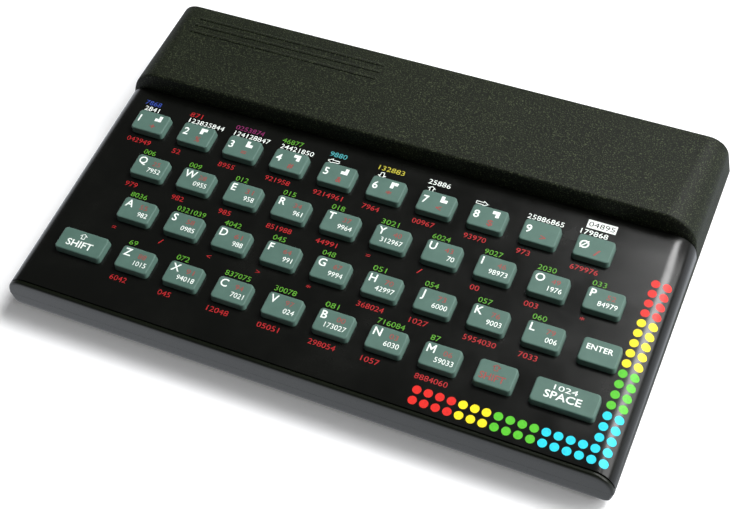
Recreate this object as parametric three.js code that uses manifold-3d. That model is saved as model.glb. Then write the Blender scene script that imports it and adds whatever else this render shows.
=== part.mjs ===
// A vintage home computer: a wedge-shaped case with forty sprung rubber keys.
// Millimetres. X runs left to right, Y front to back and Z up. The origin is on the table,
// under the middle of the case.
import * as THREE from 'three';
import { mergeVertices } from 'three/addons/utils/BufferGeometryUtils.js';
import Module from 'manifold-3d';

const wasm = await Module();
wasm.setup();

// Clearances
const fitGap = 0.3;
const slideGap = 0.35;
const overrun = 2;

// Keys
const keyPitch = 20.1;
const rowPitch = 19.9;
const keyTopWidth = 13.6;
const keyTopDepth = 9.5;
const keyDraft = 0.2;
const keyHeight = 2.6;
const keyCorner = 1.3;
const keyEdge = 0.5;
const keyTravel = 2;
const flangeOverhang = 0.9;
const flangeThickness = 0.9;
const shiftKeyTopWidth = 19;
const spaceKeyTopWidth = 22.6;

// Keyboard deck, measured along its slope
const deckTiltDegrees = 3.87;
const deckCentreShift = -7.2;
const frontRowDistance = 22.8;
const stepMargin = 16.9;
const plateThickness = 0.7;
const plateRise = 2;
const matThickness = 1;
const matRim = 1.2;
const matRibWidth = 3;
const membraneThickness = 0.4;
const trayFloor = 1.9;

// Case
const caseHeight = 30;
const rearHeight = 27.8;
const frontHeight = 16;
const humpDepth = 43.5;
const stepLean = 1.3;
const sideBand = 9.35;
const sideLeanDegrees = 10;
const deckShoulder = 8;
const crestShoulder = 13;
const rearShoulder = 8.5;
const cavityShoulder = 1.5;
const wall = 2.2;
const lipDepth = 1.6;
const softEdge = 1;
const rearEdge = 0.6;
const frontSeamHeight = 7.5;
const rearSeamHeight = 12;
const baseLeanDegrees = 12;
const baseEdge = 0.8;
const baseShoulder = 2.6;

// Feet and screws
const footHeight = 1.5;
const footRadius = 6;
const footSink = 0.6;
const footInsetX = 22;
const footInsetY = 18;
const screwRadius = 1.5;
const screwHeadRadius = 2.8;
const screwHeadHeight = 1.9;
const screwHeadSink = 0.5;
const screwLength = 8.4;
const screwTip = 1.2;
const screwSlotWidth = 0.7;
const screwSlotDepth = 1;
const pillarWall = 1.6;
const frontScrewInsetX = 17;
const frontScrewInsetY = 8;
const middleScrewInsetY = 51;
const rearScrewInsetX = 14;
const rearScrewInsetY = 38;

// Mainboard and what is soldered to it
const boardStandoff = 2.6;
const boardThickness = 1.6;
const boardSideGap = 3;
const boardRearInset = 8;
const boardFrontInset = 42;
const solderSink = 0.2;
const longChip = { length: 51, width: 14, height: 3.2 };
const romChip = { length: 36, width: 14, height: 3.2 };
const memoryChip = { length: 19.5, width: 6.6, height: 3.2 };
const memoryPitch = 10.4;
const memoryColumns = 8;
const memoryRowSpacing = 22;
const tailConnector = { length: 26, width: 5, height: 3.2 };
const tailSpacing = 116;
const tailWidth = 20;
const tailReach = 0.8;
const beeperRadius = 11;
const beeperHeight = 2.4;
const capacitorRadius = 3.2;
const capacitorHeight = 9;
const capacitorSpacing = 9;
const capacitorCount = 2;
const regulatorWidth = 10;
const regulatorDepth = 4.4;
const regulatorHeight = 9;

// Heatsink over the regulator
const heatsinkWidth = 30;
const heatsinkThickness = 1.6;
const heatsinkReach = 17;
const heatsinkRise = 12;
const heatsinkInsetX = 36.4;
const heatsinkInsetY = 22;

// Sockets in the rear wall
const socketRise = 5.4;
const jackWidth = 11;
const jackDepth = 13;
const jackHeight = 10.4;
const jackNoseRadius = 4;
const jackBoreRadius = 1.8;
const jackBoreDepth = 12;
const jackSpacing = 14;
const earSocketGap = 7.4;
const powerInset = 29.4;
const powerWidth = 10;
const powerHeight = 10.6;
const powerBoreRadius = 2.9;
const powerPinRadius = 1;
const powerBoreDepth = 9;
const modulatorWidth = 44;
const modulatorDepth = 28;
const modulatorHeight = 13;
const modulatorInset = 34.6;
const modulatorSocketOffset = 6;
const modulatorSleeveRadius = 4.2;
const modulatorBoreRadius = 1.6;
const modulatorBoreDepth = 8;
const slotWidth = 74;
const slotHeight = 8.6;

// Steps that round shapes are drawn with
const shoulderSteps = 6;
const cornerSteps = 2;
const roundSides = 20;

// Places on the board, as shares of its half width from the middle and of its depth from the front
const placeShares = {
  memory: [0, 0.47],
  leftLongChip: [-0.27, 0.79],
  rightLongChip: [0.23, 0.79],
  rom: [-0.7, 0.63],
  beeper: [-0.7, 0.17],
  capacitors: [0.53, 0.79],
  slot: [0.17, 1],
};

const rowShiftShares = [0, 0.5, 0.75, 0.25];
const rowKeys = [
  ['1', '2', '3', '4', '5', '6', '7', '8', '9', '0'],
  ['q', 'w', 'e', 'r', 't', 'y', 'u', 'i', 'o', 'p'],
  ['a', 's', 'd', 'f', 'g', 'h', 'j', 'k', 'l', 'enter'],
  ['caps_shift', 'z', 'x', 'c', 'v', 'b', 'n', 'm', 'symbol_shift', 'space'],
];

const radians = THREE.MathUtils.degToRad;
const deckTilt = radians(deckTiltDegrees);
const sideLean = radians(sideLeanDegrees);
const baseLean = radians(baseLeanDegrees);

// Heights in the keyboard stack, from the top of the plate down
const matTop = -(plateThickness + fitGap);
const flangeBottom = matTop - flangeThickness;
const membraneTop = flangeBottom - keyTravel - fitGap;
const matBottom = membraneTop + fitGap;
const pocketFloor = membraneTop - membraneThickness - fitGap;
const trayBottom = pocketFloor - trayFloor;

// Each key's place on the deck; the two wide keys grow away from the middle
const keys = rowKeys.flatMap((names, row) => names.map((name, column) => {
  const columnCentre = (names.length - 1) / 2;
  const shift = column + rowShiftShares[row] - columnCentre;
  const grid = shift * keyPitch + deckCentreShift;
  const wide = { caps_shift: shiftKeyTopWidth, space: spaceKeyTopWidth }[name] ?? keyTopWidth;
  const growth = (wide - keyTopWidth) / 2;
  return {
    name,
    width: wide,
    x: name === 'caps_shift' ? grid - growth : grid + growth,
    y: frontRowDistance + (rowKeys.length - 1 - row) * rowPitch,
  };
}));

// The deck's pocket and the case grow with the field of keys
const flangeReach = keyDraft + flangeOverhang;
const wellGap = flangeReach + slideGap;
const fieldReach = Math.max(...keys.map((key) => Math.abs(key.x) + key.width / 2));
const matHalfWidth = fieldReach + wellGap + matRim;
const pocketHalfWidth = matHalfWidth + fitGap;
const matFront = frontRowDistance - keyTopDepth / 2 - wellGap - matRim;
const rearRowDistance = frontRowDistance + (rowKeys.length - 1) * rowPitch;
const matRear = rearRowDistance + keyTopDepth / 2 + wellGap + matRim;
const stepDistance = rearRowDistance + stepMargin;
const caseHalfWidth = pocketHalfWidth + sideBand;
const caseDepth = stepDistance * Math.cos(deckTilt) + stepLean + humpDepth;
const frontY = -caseDepth / 2;
const rearY = caseDepth / 2;
const stepFootY = frontY + stepDistance * Math.cos(deckTilt);
const crestY = stepFootY + stepLean;

// Heights inside the case
const baseBottom = footHeight;
const floorTop = baseBottom + wall;
const postTop = floorTop + boardStandoff;
const boardBottom = postTop + fitGap;
const boardTop = boardBottom + boardThickness;
const partsBase = boardTop + fitGap;
const socketZ = boardTop + socketRise;
const boardHalfWidth = caseHalfWidth - wall - boardSideGap;
const boardRear = rearY - boardRearInset;
const boardFront = frontY + boardFrontInset;

// Places of the parts on the board and along the rear wall
const places = Object.fromEntries(Object.entries(placeShares).map(([name, [across, back]]) => [
  name,
  { x: across * boardHalfWidth, y: THREE.MathUtils.lerp(boardFront, boardRear, back) },
]));
const slotX = places.slot.x;
const modulatorX = -caseHalfWidth + modulatorInset;
const modulatorSocketX = modulatorX - modulatorSocketOffset;
const earSocketX = modulatorX + modulatorWidth / 2 + earSocketGap + jackWidth / 2;
const micSocketX = earSocketX + jackSpacing;
const powerSocketX = caseHalfWidth - powerInset;
const heatsinkX = caseHalfWidth - heatsinkInsetX;
const heatsinkY = rearY - heatsinkInsetY;

const deckTop = (y) => frontHeight + (y - frontY) * Math.tan(deckTilt);
const humpTop = (y) => THREE.MathUtils.mapLinear(y, crestY, rearY, caseHeight, rearHeight);
const seam = (y) => THREE.MathUtils.mapLinear(y, frontY, rearY, frontSeamHeight, rearSeamHeight);
const deckFrame = new THREE.Matrix4().makeRotationX(deckTilt).setPosition(0, frontY, frontHeight);
const seamTilt = Math.atan2(rearSeamHeight - frontSeamHeight, caseDepth);
const ledgeFrame = new THREE.Matrix4().makeRotationX(seamTilt)
  .setPosition(0, frontY, frontSeamHeight + plateRise);

// A closed manifold solid from a closed three.js geometry
function solid(geometry) {
  const bare = geometry.clone();
  bare.deleteAttribute('normal');
  bare.deleteAttribute('uv');
  const merged = mergeVertices(bare);
  const mesh = new wasm.Mesh({
    numProp: 3,
    vertProperties: new Float32Array(merged.attributes.position.array),
    triVerts: new Uint32Array(merged.index.array),
  });
  return new wasm.Manifold(mesh);
}

function cut(body, tools) {
  return tools.reduce((rest, tool) => rest.subtract(tool), body);
}

function join(body, others) {
  return others.reduce((whole, other) => whole.add(other), body);
}

function geometryOf(body) {
  const { vertProperties, triVerts } = body.getMesh();
  const geometry = new THREE.BufferGeometry();
  geometry.setAttribute('position', new THREE.BufferAttribute(vertProperties, 3));
  geometry.setIndex(new THREE.BufferAttribute(triVerts, 1));
  return geometry;
}

function box(minX, maxX, minY, maxY, minZ, maxZ) {
  const geometry = new THREE.BoxGeometry(maxX - minX, maxY - minY, maxZ - minZ);
  return geometry.translate((minX + maxX) / 2, (minY + maxY) / 2, (minZ + maxZ) / 2);
}

function uprightCylinder(x, y, radius, minZ, maxZ) {
  const geometry = new THREE.CylinderGeometry(radius, radius, maxZ - minZ, roundSides);
  return geometry.rotateX(Math.PI / 2).translate(x, y, (minZ + maxZ) / 2);
}

function rearwardCylinder(x, z, radius, minY, maxY) {
  const geometry = new THREE.CylinderGeometry(radius, radius, maxY - minY, roundSides);
  return geometry.translate(x, (minY + maxY) / 2, z);
}

// Skins rings of equal counts of points into a closed solid with flat, convex ends
function loft(rings) {
  const count = rings[0].length;
  const last = (rings.length - 1) * count;
  const faces = [];
  for (let ring = 0; ring < rings.length - 1; ring++) {
    for (let side = 0; side < count; side++) {
      const near = ring * count + side;
      const next = ring * count + (side + 1) % count;
      faces.push(near, next, next + count);
      faces.push(near, next + count, near + count);
    }
  }
  for (let side = 1; side < count - 1; side++) {
    faces.push(0, side + 1, side);
    faces.push(last, last + side, last + side + 1);
  }
  const geometry = new THREE.BufferGeometry();
  geometry.setAttribute('position', new THREE.Float32BufferAttribute(rings.flat(2), 3));
  geometry.setIndex(faces);
  return geometry;
}

// An upright section across the case: sides that lean in from a base, round shoulders, level top.
// With the top below the base it hangs down instead.
function section(y, halfWidth, base, top, shoulder, lean) {
  const upward = Math.sign(top - base);
  const corner = halfWidth - Math.abs(top - base) * Math.tan(lean);
  const centreX = corner - shoulder * Math.tan((Math.PI / 2 - lean) / 2);
  const right = [[halfWidth, y, base]];
  for (let step = 0; step <= shoulderSteps; step++) {
    const angle = THREE.MathUtils.lerp(lean, Math.PI / 2, step / shoulderSteps);
    const drop = shoulder * (1 - Math.sin(angle));
    right.push([centreX + shoulder * Math.cos(angle), y, top - upward * drop]);
  }
  const left = right.map(([x, , z]) => [-x, y, z]).reverse();
  const ring = [...right, ...left];
  return upward > 0 ? ring.reverse() : ring;
}

// A level rounded rectangle
function roundedRing(width, depth, corner, z) {
  const ring = [];
  const spots = [[1, 1], [-1, 1], [-1, -1], [1, -1]];
  spots.forEach(([signX, signY], quarter) => {
    for (let step = 0; step <= cornerSteps; step++) {
      const angle = (quarter + step / cornerSteps) * Math.PI / 2;
      const x = signX * (width / 2 - corner) + corner * Math.cos(angle);
      const y = signY * (depth / 2 - corner) + corner * Math.sin(angle);
      ring.push([x, y, z]);
    }
  });
  return ring;
}

// The deck's skin, sunk below the outer surface by the given depth
function deckBlank(sink) {
  const ends = [frontY - overrun, stepFootY + overrun];
  return solid(loft(ends.map((y) => section(
    y,
    caseHalfWidth - sink / Math.cos(sideLean),
    seam(y),
    deckTop(y) - sink,
    deckShoulder - sink,
    sideLean,
  ))));
}

// The space between the front lip and the step, above a ledge that runs along the seam
function deckSpace(gap) {
  const reach = caseHalfWidth + overrun;
  const front = lipDepth + gap;
  const rear = stepDistance - gap;
  const between = box(-reach, reach, front, rear, -caseHeight, caseHeight);
  const above = box(-reach, reach, -overrun, caseDepth + overrun, gap, caseHeight);
  return solid(between.applyMatrix4(deckFrame)).intersect(solid(above.applyMatrix4(ledgeFrame)));
}

const wellWidth = (key) => key.width + 2 * wellGap;
const wellDepth = keyTopDepth + 2 * wellGap;

function makeFacePlate() {
  const sheet = deckBlank(0).intersect(deckSpace(fitGap)).subtract(deckBlank(plateThickness));
  const holeGrowth = 2 * (keyDraft + slideGap);
  const holes = keys.map((key) => {
    const ends = [matTop - overrun, overrun];
    const hole = loft(ends.map((z) => roundedRing(
      key.width + holeGrowth,
      keyTopDepth + holeGrowth,
      keyCorner + slideGap,
      z,
    )));
    return solid(hole.translate(key.x, key.y, 0).applyMatrix4(deckFrame));
  });
  return cut(sheet, holes);
}

function makeKey(key) {
  const baseWidth = key.width + 2 * keyDraft;
  const baseDepth = keyTopDepth + 2 * keyDraft;
  const flangeWidth = baseWidth + 2 * flangeOverhang;
  const flangeDepth = baseDepth + 2 * flangeOverhang;
  return loft([
    roundedRing(flangeWidth, flangeDepth, keyCorner, flangeBottom),
    roundedRing(flangeWidth, flangeDepth, keyCorner, matTop),
    roundedRing(baseWidth, baseDepth, keyCorner, matTop),
    roundedRing(key.width, keyTopDepth, keyCorner, keyHeight - keyEdge),
    roundedRing(key.width - keyEdge, keyTopDepth - keyEdge, keyCorner, keyHeight),
  ]);
}

// A sheet with a well for each key, on a rim and on ribs between the rows
function makeMat() {
  const sheet = box(-matHalfWidth, matHalfWidth, matFront, matRear, matTop - matThickness, matTop);
  const rim = box(-matHalfWidth, matHalfWidth, matFront, matRear, matBottom, matTop);
  const hollow = box(
    -matHalfWidth + matRim,
    matHalfWidth - matRim,
    matFront + matRim,
    matRear - matRim,
    matBottom - overrun,
    matTop - matThickness,
  );
  const wells = keys.map((key) => solid(box(
    key.x - wellWidth(key) / 2,
    key.x + wellWidth(key) / 2,
    key.y - wellDepth / 2,
    key.y + wellDepth / 2,
    matBottom - overrun,
    matTop + overrun,
  )));
  const ribs = rowKeys.slice(1).map((_, row) => {
    const middle = frontRowDistance + (row + 1 / 2) * rowPitch;
    const reach = matHalfWidth - matRim / 2;
    return solid(box(
      -reach,
      reach,
      middle - matRibWidth / 2,
      middle + matRibWidth / 2,
      matBottom,
      matTop - matThickness / 2,
    ));
  });
  const body = solid(rim).subtract(solid(hollow)).add(solid(sheet));
  return cut(join(body, ribs), wells);
}

const tailSpots = [-tailSpacing / 2, tailSpacing / 2];
const tailBottom = trayBottom - tailReach;

// A flat sheet whose two tails go down through the tray at its rear edge
function makeMembrane() {
  const bottom = membraneTop - membraneThickness;
  const sheet = box(-matHalfWidth, matHalfWidth, matFront, matRear, bottom, membraneTop);
  const tails = tailSpots.map((x) => solid(box(
    x - tailWidth / 2,
    x + tailWidth / 2,
    matRear - membraneThickness,
    matRear,
    tailBottom,
    membraneTop,
  )));
  return join(solid(sheet), tails);
}

const screwSpots = [
  { x: -caseHalfWidth + frontScrewInsetX, y: frontY + frontScrewInsetY, board: false },
  { x: caseHalfWidth - frontScrewInsetX, y: frontY + frontScrewInsetY, board: false },
  { x: 0, y: frontY + middleScrewInsetY, board: true },
  { x: -caseHalfWidth + rearScrewInsetX, y: rearY - rearScrewInsetY, board: true },
  { x: caseHalfWidth - rearScrewInsetX, y: rearY - rearScrewInsetY, board: true },
];
const footSpots = [-1, 1].flatMap((signX) => [-1, 1].map((signY) => ({
  x: signX * (caseHalfWidth - footInsetX),
  y: signY * (caseDepth / 2 - footInsetY),
})));
const pilotRadius = screwRadius + fitGap;
const headBoreRadius = screwHeadRadius + fitGap;
const bossRadius = pilotRadius + pillarWall;
const postRadius = headBoreRadius + pillarWall;
const headSeat = baseBottom + screwHeadSink + screwHeadHeight + fitGap;
const screwTop = headSeat - fitGap + screwLength;

// Holes through the rear wall, one for each socket and one for the board's edge contacts
function rearWindows() {
  const inner = rearY - wall - overrun;
  const outer = rearY + overrun;
  const noses = [
    [earSocketX, jackNoseRadius],
    [micSocketX, jackNoseRadius],
    [modulatorSocketX, modulatorSleeveRadius],
  ];
  const round = noses.map(([x, radius]) => solid(
    rearwardCylinder(x, socketZ, radius + 2 * fitGap, inner, outer),
  ));
  const power = solid(box(
    powerSocketX - powerWidth / 2 - fitGap,
    powerSocketX + powerWidth / 2 + fitGap,
    inner,
    outer,
    boardTop,
    partsBase + powerHeight + fitGap,
  ));
  const slot = solid(box(
    slotX - slotWidth / 2,
    slotX + slotWidth / 2,
    inner,
    outer,
    floorTop + fitGap,
    boardTop + slotHeight,
  ));
  return [...round, power, slot];
}

// Upright sections from front to rear; each edge takes its first and last ones in a little
function upperCaseOutside() {
  const ring = (y, top, shoulder, edge = 0) => section(
    y,
    caseHalfWidth - edge,
    seam(y),
    top - edge,
    shoulder - edge,
    sideLean,
  );
  return solid(loft([
    ring(frontY, deckTop(frontY), deckShoulder, softEdge),
    ring(frontY + softEdge, deckTop(frontY + softEdge), deckShoulder),
    ring(stepFootY, deckTop(stepFootY), deckShoulder),
    ring(crestY, caseHeight, crestShoulder),
    ring(rearY - rearEdge, humpTop(rearY - rearEdge), rearShoulder),
    ring(rearY, rearHeight, rearShoulder, rearEdge),
  ]));
}

function upperCaseInside() {
  const below = baseBottom - overrun;
  const halfWidth = (y) => caseHalfWidth - wall + (seam(y) - below) * Math.tan(sideLean);
  const innerTray = (y) => deckTop(y) + trayBottom / Math.cos(deckTilt);
  const ring = (y, top, shoulder) => section(y, halfWidth(y), below, top, shoulder, sideLean);
  const underCrest = crestY + wall;
  const innerRear = rearY - wall;
  return solid(loft([
    ring(frontY + wall, innerTray(frontY + wall), cavityShoulder),
    ring(stepFootY, innerTray(stepFootY), cavityShoulder),
    ring(underCrest, humpTop(underCrest) - wall, crestShoulder - wall),
    ring(innerRear, humpTop(innerRear) - wall, rearShoulder - wall),
  ]));
}

function screwBoss(spot) {
  const bottom = (spot.board ? boardTop : postTop) + fitGap;
  const ceiling = spot.y > crestY ? humpTop(spot.y) - wall / 2 : deckTop(spot.y) + pocketFloor;
  return solid(uprightCylinder(spot.x, spot.y, bossRadius, bottom, ceiling - fitGap));
}

function makeUpperCase() {
  const recess = deckSpace(0).subtract(deckBlank(plateThickness + fitGap));
  const pocket = box(
    -pocketHalfWidth,
    pocketHalfWidth,
    matFront - fitGap,
    matRear + fitGap,
    pocketFloor,
    overrun,
  );
  const tailSlots = tailSpots.map((x) => solid(box(
    x - tailWidth / 2 - fitGap,
    x + tailWidth / 2 + fitGap,
    matRear - membraneThickness - fitGap,
    matRear + fitGap,
    trayBottom - overrun,
    pocketFloor + overrun,
  ).applyMatrix4(deckFrame)));
  const pilots = screwSpots.map(({ x, y }) => solid(
    uprightCylinder(x, y, pilotRadius, baseBottom, screwTop + fitGap),
  ));
  const shell = upperCaseOutside().subtract(upperCaseInside());
  const body = join(shell, screwSpots.map(screwBoss));
  const openings = [recess, solid(pocket.applyMatrix4(deckFrame)), ...tailSlots];
  return cut(body, [...openings, ...pilots, ...rearWindows()]);
}

// The tray below the seam; its lower edge turns up a little at the front and the rear
function lowerCaseOutside() {
  const ends = [[frontY, baseEdge], [frontY + baseEdge, 0], [rearY - baseEdge, 0], [rearY, baseEdge]];
  return solid(loft(ends.map(([y, raise]) => section(
    y,
    caseHalfWidth,
    seam(y) - fitGap,
    baseBottom + raise,
    baseShoulder - raise,
    baseLean,
  ))));
}

function lowerCaseInside() {
  const above = caseHeight;
  const halfWidth = (y) => caseHalfWidth - wall + (above - seam(y)) * Math.tan(baseLean);
  const ends = [frontY + wall, rearY - wall];
  return solid(loft(ends.map((y) => section(
    y,
    halfWidth(y),
    above,
    floorTop,
    cavityShoulder,
    baseLean,
  ))));
}

function makeLowerCase() {
  const posts = screwSpots.map(({ x, y }) => solid(
    uprightCylinder(x, y, postRadius, baseBottom + wall / 2, postTop),
  ));
  const shell = lowerCaseOutside().subtract(lowerCaseInside());
  const bores = screwSpots.flatMap(({ x, y }) => [
    solid(uprightCylinder(x, y, headBoreRadius, baseBottom - overrun, headSeat)),
    solid(uprightCylinder(x, y, pilotRadius, baseBottom, postTop + overrun)),
  ]);
  const footSeats = footSpots.map(({ x, y }) => solid(
    uprightCylinder(x, y, footRadius + fitGap, baseBottom - overrun, baseBottom + footSink),
  ));
  return cut(join(shell, posts), [...bores, ...footSeats, ...rearWindows()]);
}

function makeFoot() {
  const top = baseBottom + footSink - fitGap;
  const profile = [
    [0, 0],
    [footRadius - softEdge, 0],
    [footRadius, softEdge],
    [footRadius, top],
    [0, top],
  ];
  const points = profile.map(([radius, height]) => new THREE.Vector2(radius, height));
  return new THREE.LatheGeometry(points, roundSides).rotateX(Math.PI / 2);
}

// A pan-head screw with a cross recess, pointing up
function makeScrew() {
  const headBottom = baseBottom + screwHeadSink;
  const shankBase = headBottom + screwHeadHeight;
  const profile = [
    [0, headBottom],
    [screwHeadRadius - screwHeadHeight / 2, headBottom],
    [screwHeadRadius, headBottom + screwHeadHeight / 2],
    [screwHeadRadius, shankBase],
    [screwRadius, shankBase],
    [screwRadius, screwTop - screwTip],
    [0, screwTop],
  ];
  const points = profile.map(([radius, height]) => new THREE.Vector2(radius, height));
  const body = new THREE.LatheGeometry(points, roundSides).rotateX(Math.PI / 2);
  const reach = screwHeadRadius - screwHeadHeight / 2;
  const half = screwSlotWidth / 2;
  const slotTop = headBottom + screwSlotDepth;
  const slots = [
    solid(box(-reach, reach, -half, half, headBottom - overrun, slotTop)),
    solid(box(-half, half, -reach, reach, headBottom - overrun, slotTop)),
  ];
  return cut(solid(body), slots);
}

// A chip's body, sunk a little into the board so that the two are one
function chip(x, y, { length, width, height }, lengthwise) {
  const halfX = (lengthwise ? length : width) / 2;
  const halfY = (lengthwise ? width : length) / 2;
  const bottom = boardTop - solderSink;
  return solid(box(x - halfX, x + halfX, y - halfY, y + halfY, bottom, boardTop + height));
}

// Where the membrane's tails come down, in the case's own axes
const tailFoot = new THREE.Vector3(0, matRear, tailBottom).applyMatrix4(deckFrame);

function makeMainboard() {
  const board = solid(box(
    -boardHalfWidth,
    boardHalfWidth,
    boardFront,
    boardRear,
    boardBottom,
    boardTop,
  ));
  const memory = [];
  for (let column = 0; column < memoryColumns; column++) {
    const x = places.memory.x + (column - (memoryColumns - 1) / 2) * memoryPitch;
    memory.push(chip(x, places.memory.y - memoryRowSpacing / 2, memoryChip, false));
    memory.push(chip(x, places.memory.y + memoryRowSpacing / 2, memoryChip, false));
  }
  const capacitors = [];
  for (let index = 0; index < capacitorCount; index++) {
    const { x, y: rearmost } = places.capacitors;
    const y = rearmost - index * capacitorSpacing;
    const top = boardTop + capacitorHeight;
    const bottom = boardTop - solderSink;
    capacitors.push(solid(uprightCylinder(x, y, capacitorRadius, bottom, top)));
  }
  const beeperTop = boardTop + beeperHeight;
  const parts = [
    ...memory,
    ...capacitors,
    chip(places.leftLongChip.x, places.leftLongChip.y, longChip, true),
    chip(places.rightLongChip.x, places.rightLongChip.y, longChip, true),
    chip(places.rom.x, places.rom.y, romChip, true),
    ...tailSpots.map((x) => chip(x, tailFoot.y, tailConnector, true)),
    solid(uprightCylinder(
      places.beeper.x,
      places.beeper.y,
      beeperRadius,
      boardTop - solderSink,
      beeperTop,
    )),
    solid(box(
      heatsinkX - regulatorWidth / 2,
      heatsinkX + regulatorWidth / 2,
      heatsinkY - fitGap - regulatorDepth,
      heatsinkY - fitGap,
      boardTop - solderSink,
      boardTop + regulatorHeight,
    )),
  ];
  const holes = screwSpots.filter(({ board: through }) => through).map(({ x, y }) => solid(
    uprightCylinder(x, y, pilotRadius, boardBottom - overrun, boardTop + overrun),
  ));
  return cut(join(board, parts), holes);
}

// A bent plate: one leg stands on the board and the other reaches forward over the regulator
function makeHeatsink() {
  const top = partsBase + heatsinkRise;
  const outline = new THREE.Shape([
    new THREE.Vector2(heatsinkY, partsBase),
    new THREE.Vector2(heatsinkY + heatsinkThickness, partsBase),
    new THREE.Vector2(heatsinkY + heatsinkThickness, top),
    new THREE.Vector2(heatsinkY - heatsinkReach, top),
    new THREE.Vector2(heatsinkY - heatsinkReach, top - heatsinkThickness),
    new THREE.Vector2(heatsinkY, top - heatsinkThickness),
  ]);
  const sheet = new THREE.ExtrudeGeometry(outline, { depth: heatsinkWidth, bevelEnabled: false });
  const upright = new THREE.Matrix4().makeBasis(
    new THREE.Vector3(0, 1, 0),
    new THREE.Vector3(0, 0, 1),
    new THREE.Vector3(1, 0, 0),
  );
  return sheet.applyMatrix4(upright).translate(heatsinkX - heatsinkWidth / 2, 0, 0);
}

const innerRearFace = rearY - wall - fitGap;

function makeJackSocket(x) {
  const body = solid(box(
    x - jackWidth / 2,
    x + jackWidth / 2,
    innerRearFace - jackDepth,
    innerRearFace,
    partsBase,
    partsBase + jackHeight,
  ));
  const noseBack = innerRearFace - jackDepth / 2;
  const nose = solid(rearwardCylinder(x, socketZ, jackNoseRadius, noseBack, rearY - fitGap));
  const bore = rearwardCylinder(
    x,
    socketZ,
    jackBoreRadius,
    rearY - fitGap - jackBoreDepth,
    rearY + overrun,
  );
  return body.add(nose).subtract(solid(bore));
}

function makePowerSocket() {
  const face = rearY - fitGap;
  const body = solid(box(
    powerSocketX - powerWidth / 2,
    powerSocketX + powerWidth / 2,
    innerRearFace - jackDepth,
    face,
    partsBase,
    partsBase + powerHeight,
  ));
  const boreBack = face - powerBoreDepth;
  const bore = rearwardCylinder(powerSocketX, socketZ, powerBoreRadius, boreBack, face + overrun);
  const pin = rearwardCylinder(
    powerSocketX,
    socketZ,
    powerPinRadius,
    boreBack - overrun,
    face - fitGap,
  );
  return body.subtract(solid(bore)).add(solid(pin));
}

function makeModulator() {
  const can = solid(box(
    modulatorX - modulatorWidth / 2,
    modulatorX + modulatorWidth / 2,
    innerRearFace - modulatorDepth,
    innerRearFace,
    partsBase,
    partsBase + modulatorHeight,
  ));
  const face = rearY - fitGap;
  const sleeve = solid(rearwardCylinder(
    modulatorSocketX,
    socketZ,
    modulatorSleeveRadius,
    innerRearFace - modulatorDepth / 2,
    face,
  ));
  const bore = solid(rearwardCylinder(
    modulatorSocketX,
    socketZ,
    modulatorBoreRadius,
    face - modulatorBoreDepth,
    face + overrun,
  ));
  return can.add(sleeve).subtract(bore);
}

const finishes = {
  grainedPlastic: { color: 0x26282a, roughness: 0.6, metalness: 0 },
  blackMetal: { color: 0x0b0c0c, roughness: 0.3, metalness: 0.4 },
  keyRubber: { color: 0x5a7a74, roughness: 0.7, metalness: 0 },
  blackRubber: { color: 0x141414, roughness: 0.9, metalness: 0 },
  film: { color: 0xb9b4a2, roughness: 0.4, metalness: 0 },
  board: { color: 0x1f5a38, roughness: 0.5, metalness: 0 },
  aluminium: { color: 0xb8babb, roughness: 0.35, metalness: 1 },
  tinplate: { color: 0xa9abac, roughness: 0.3, metalness: 1 },
  blackPlastic: { color: 0x101112, roughness: 0.5, metalness: 0 },
  steel: { color: 0x8d8f92, roughness: 0.35, metalness: 1 },
};

function place(parent, name, geometry, finish, x = 0, y = 0) {
  const mesh = new THREE.Mesh(geometry, new THREE.MeshStandardMaterial(finishes[finish]));
  mesh.name = name;
  mesh.position.set(x, y, 0);
  parent.add(mesh);
}

const computer = new THREE.Group();
const deck = new THREE.Group();
deck.position.set(0, frontY, frontHeight);
deck.rotation.x = deckTilt;
computer.add(deck);

place(computer, 'lower_case', geometryOf(makeLowerCase()), 'grainedPlastic');
place(computer, 'upper_case', geometryOf(makeUpperCase()), 'grainedPlastic');
place(computer, 'face_plate', geometryOf(makeFacePlate()), 'blackMetal');
place(deck, 'key_mat', geometryOf(makeMat()), 'blackRubber');
place(deck, 'key_membrane', geometryOf(makeMembrane()), 'film');
for (const key of keys) {
  place(deck, `key_${key.name}`, makeKey(key), 'keyRubber', key.x, key.y);
}
place(computer, 'mainboard', geometryOf(makeMainboard()), 'board');
place(computer, 'heatsink', makeHeatsink(), 'aluminium');
place(computer, 'tv_modulator', geometryOf(makeModulator()), 'tinplate');
place(computer, 'ear_socket', geometryOf(makeJackSocket(earSocketX)), 'blackPlastic');
place(computer, 'mic_socket', geometryOf(makeJackSocket(micSocketX)), 'blackPlastic');
place(computer, 'power_socket', geometryOf(makePowerSocket()), 'blackPlastic');
screwSpots.forEach(({ x, y }, index) => {
  place(computer, `case_screw_${index + 1}`, geometryOf(makeScrew()), 'steel', x, y);
});
footSpots.forEach(({ x, y }, index) => {
  place(computer, `rubber_foot_${index + 1}`, makeFoot(), 'blackRubber', x, y);
});

export default computer;
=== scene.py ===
"""A vintage home computer with forty rubber keys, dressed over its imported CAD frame.

Sizes are in millimetres until a mesh is written, and then in metres. X runs left to right, Y front
to back and Z up. A place on the keyboard deck is given as x, the distance s from the front edge
along the deck's slope, and the height h above the deck.
"""

import logging
import math
from dataclasses import dataclass, field, replace
from enum import Enum

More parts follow.
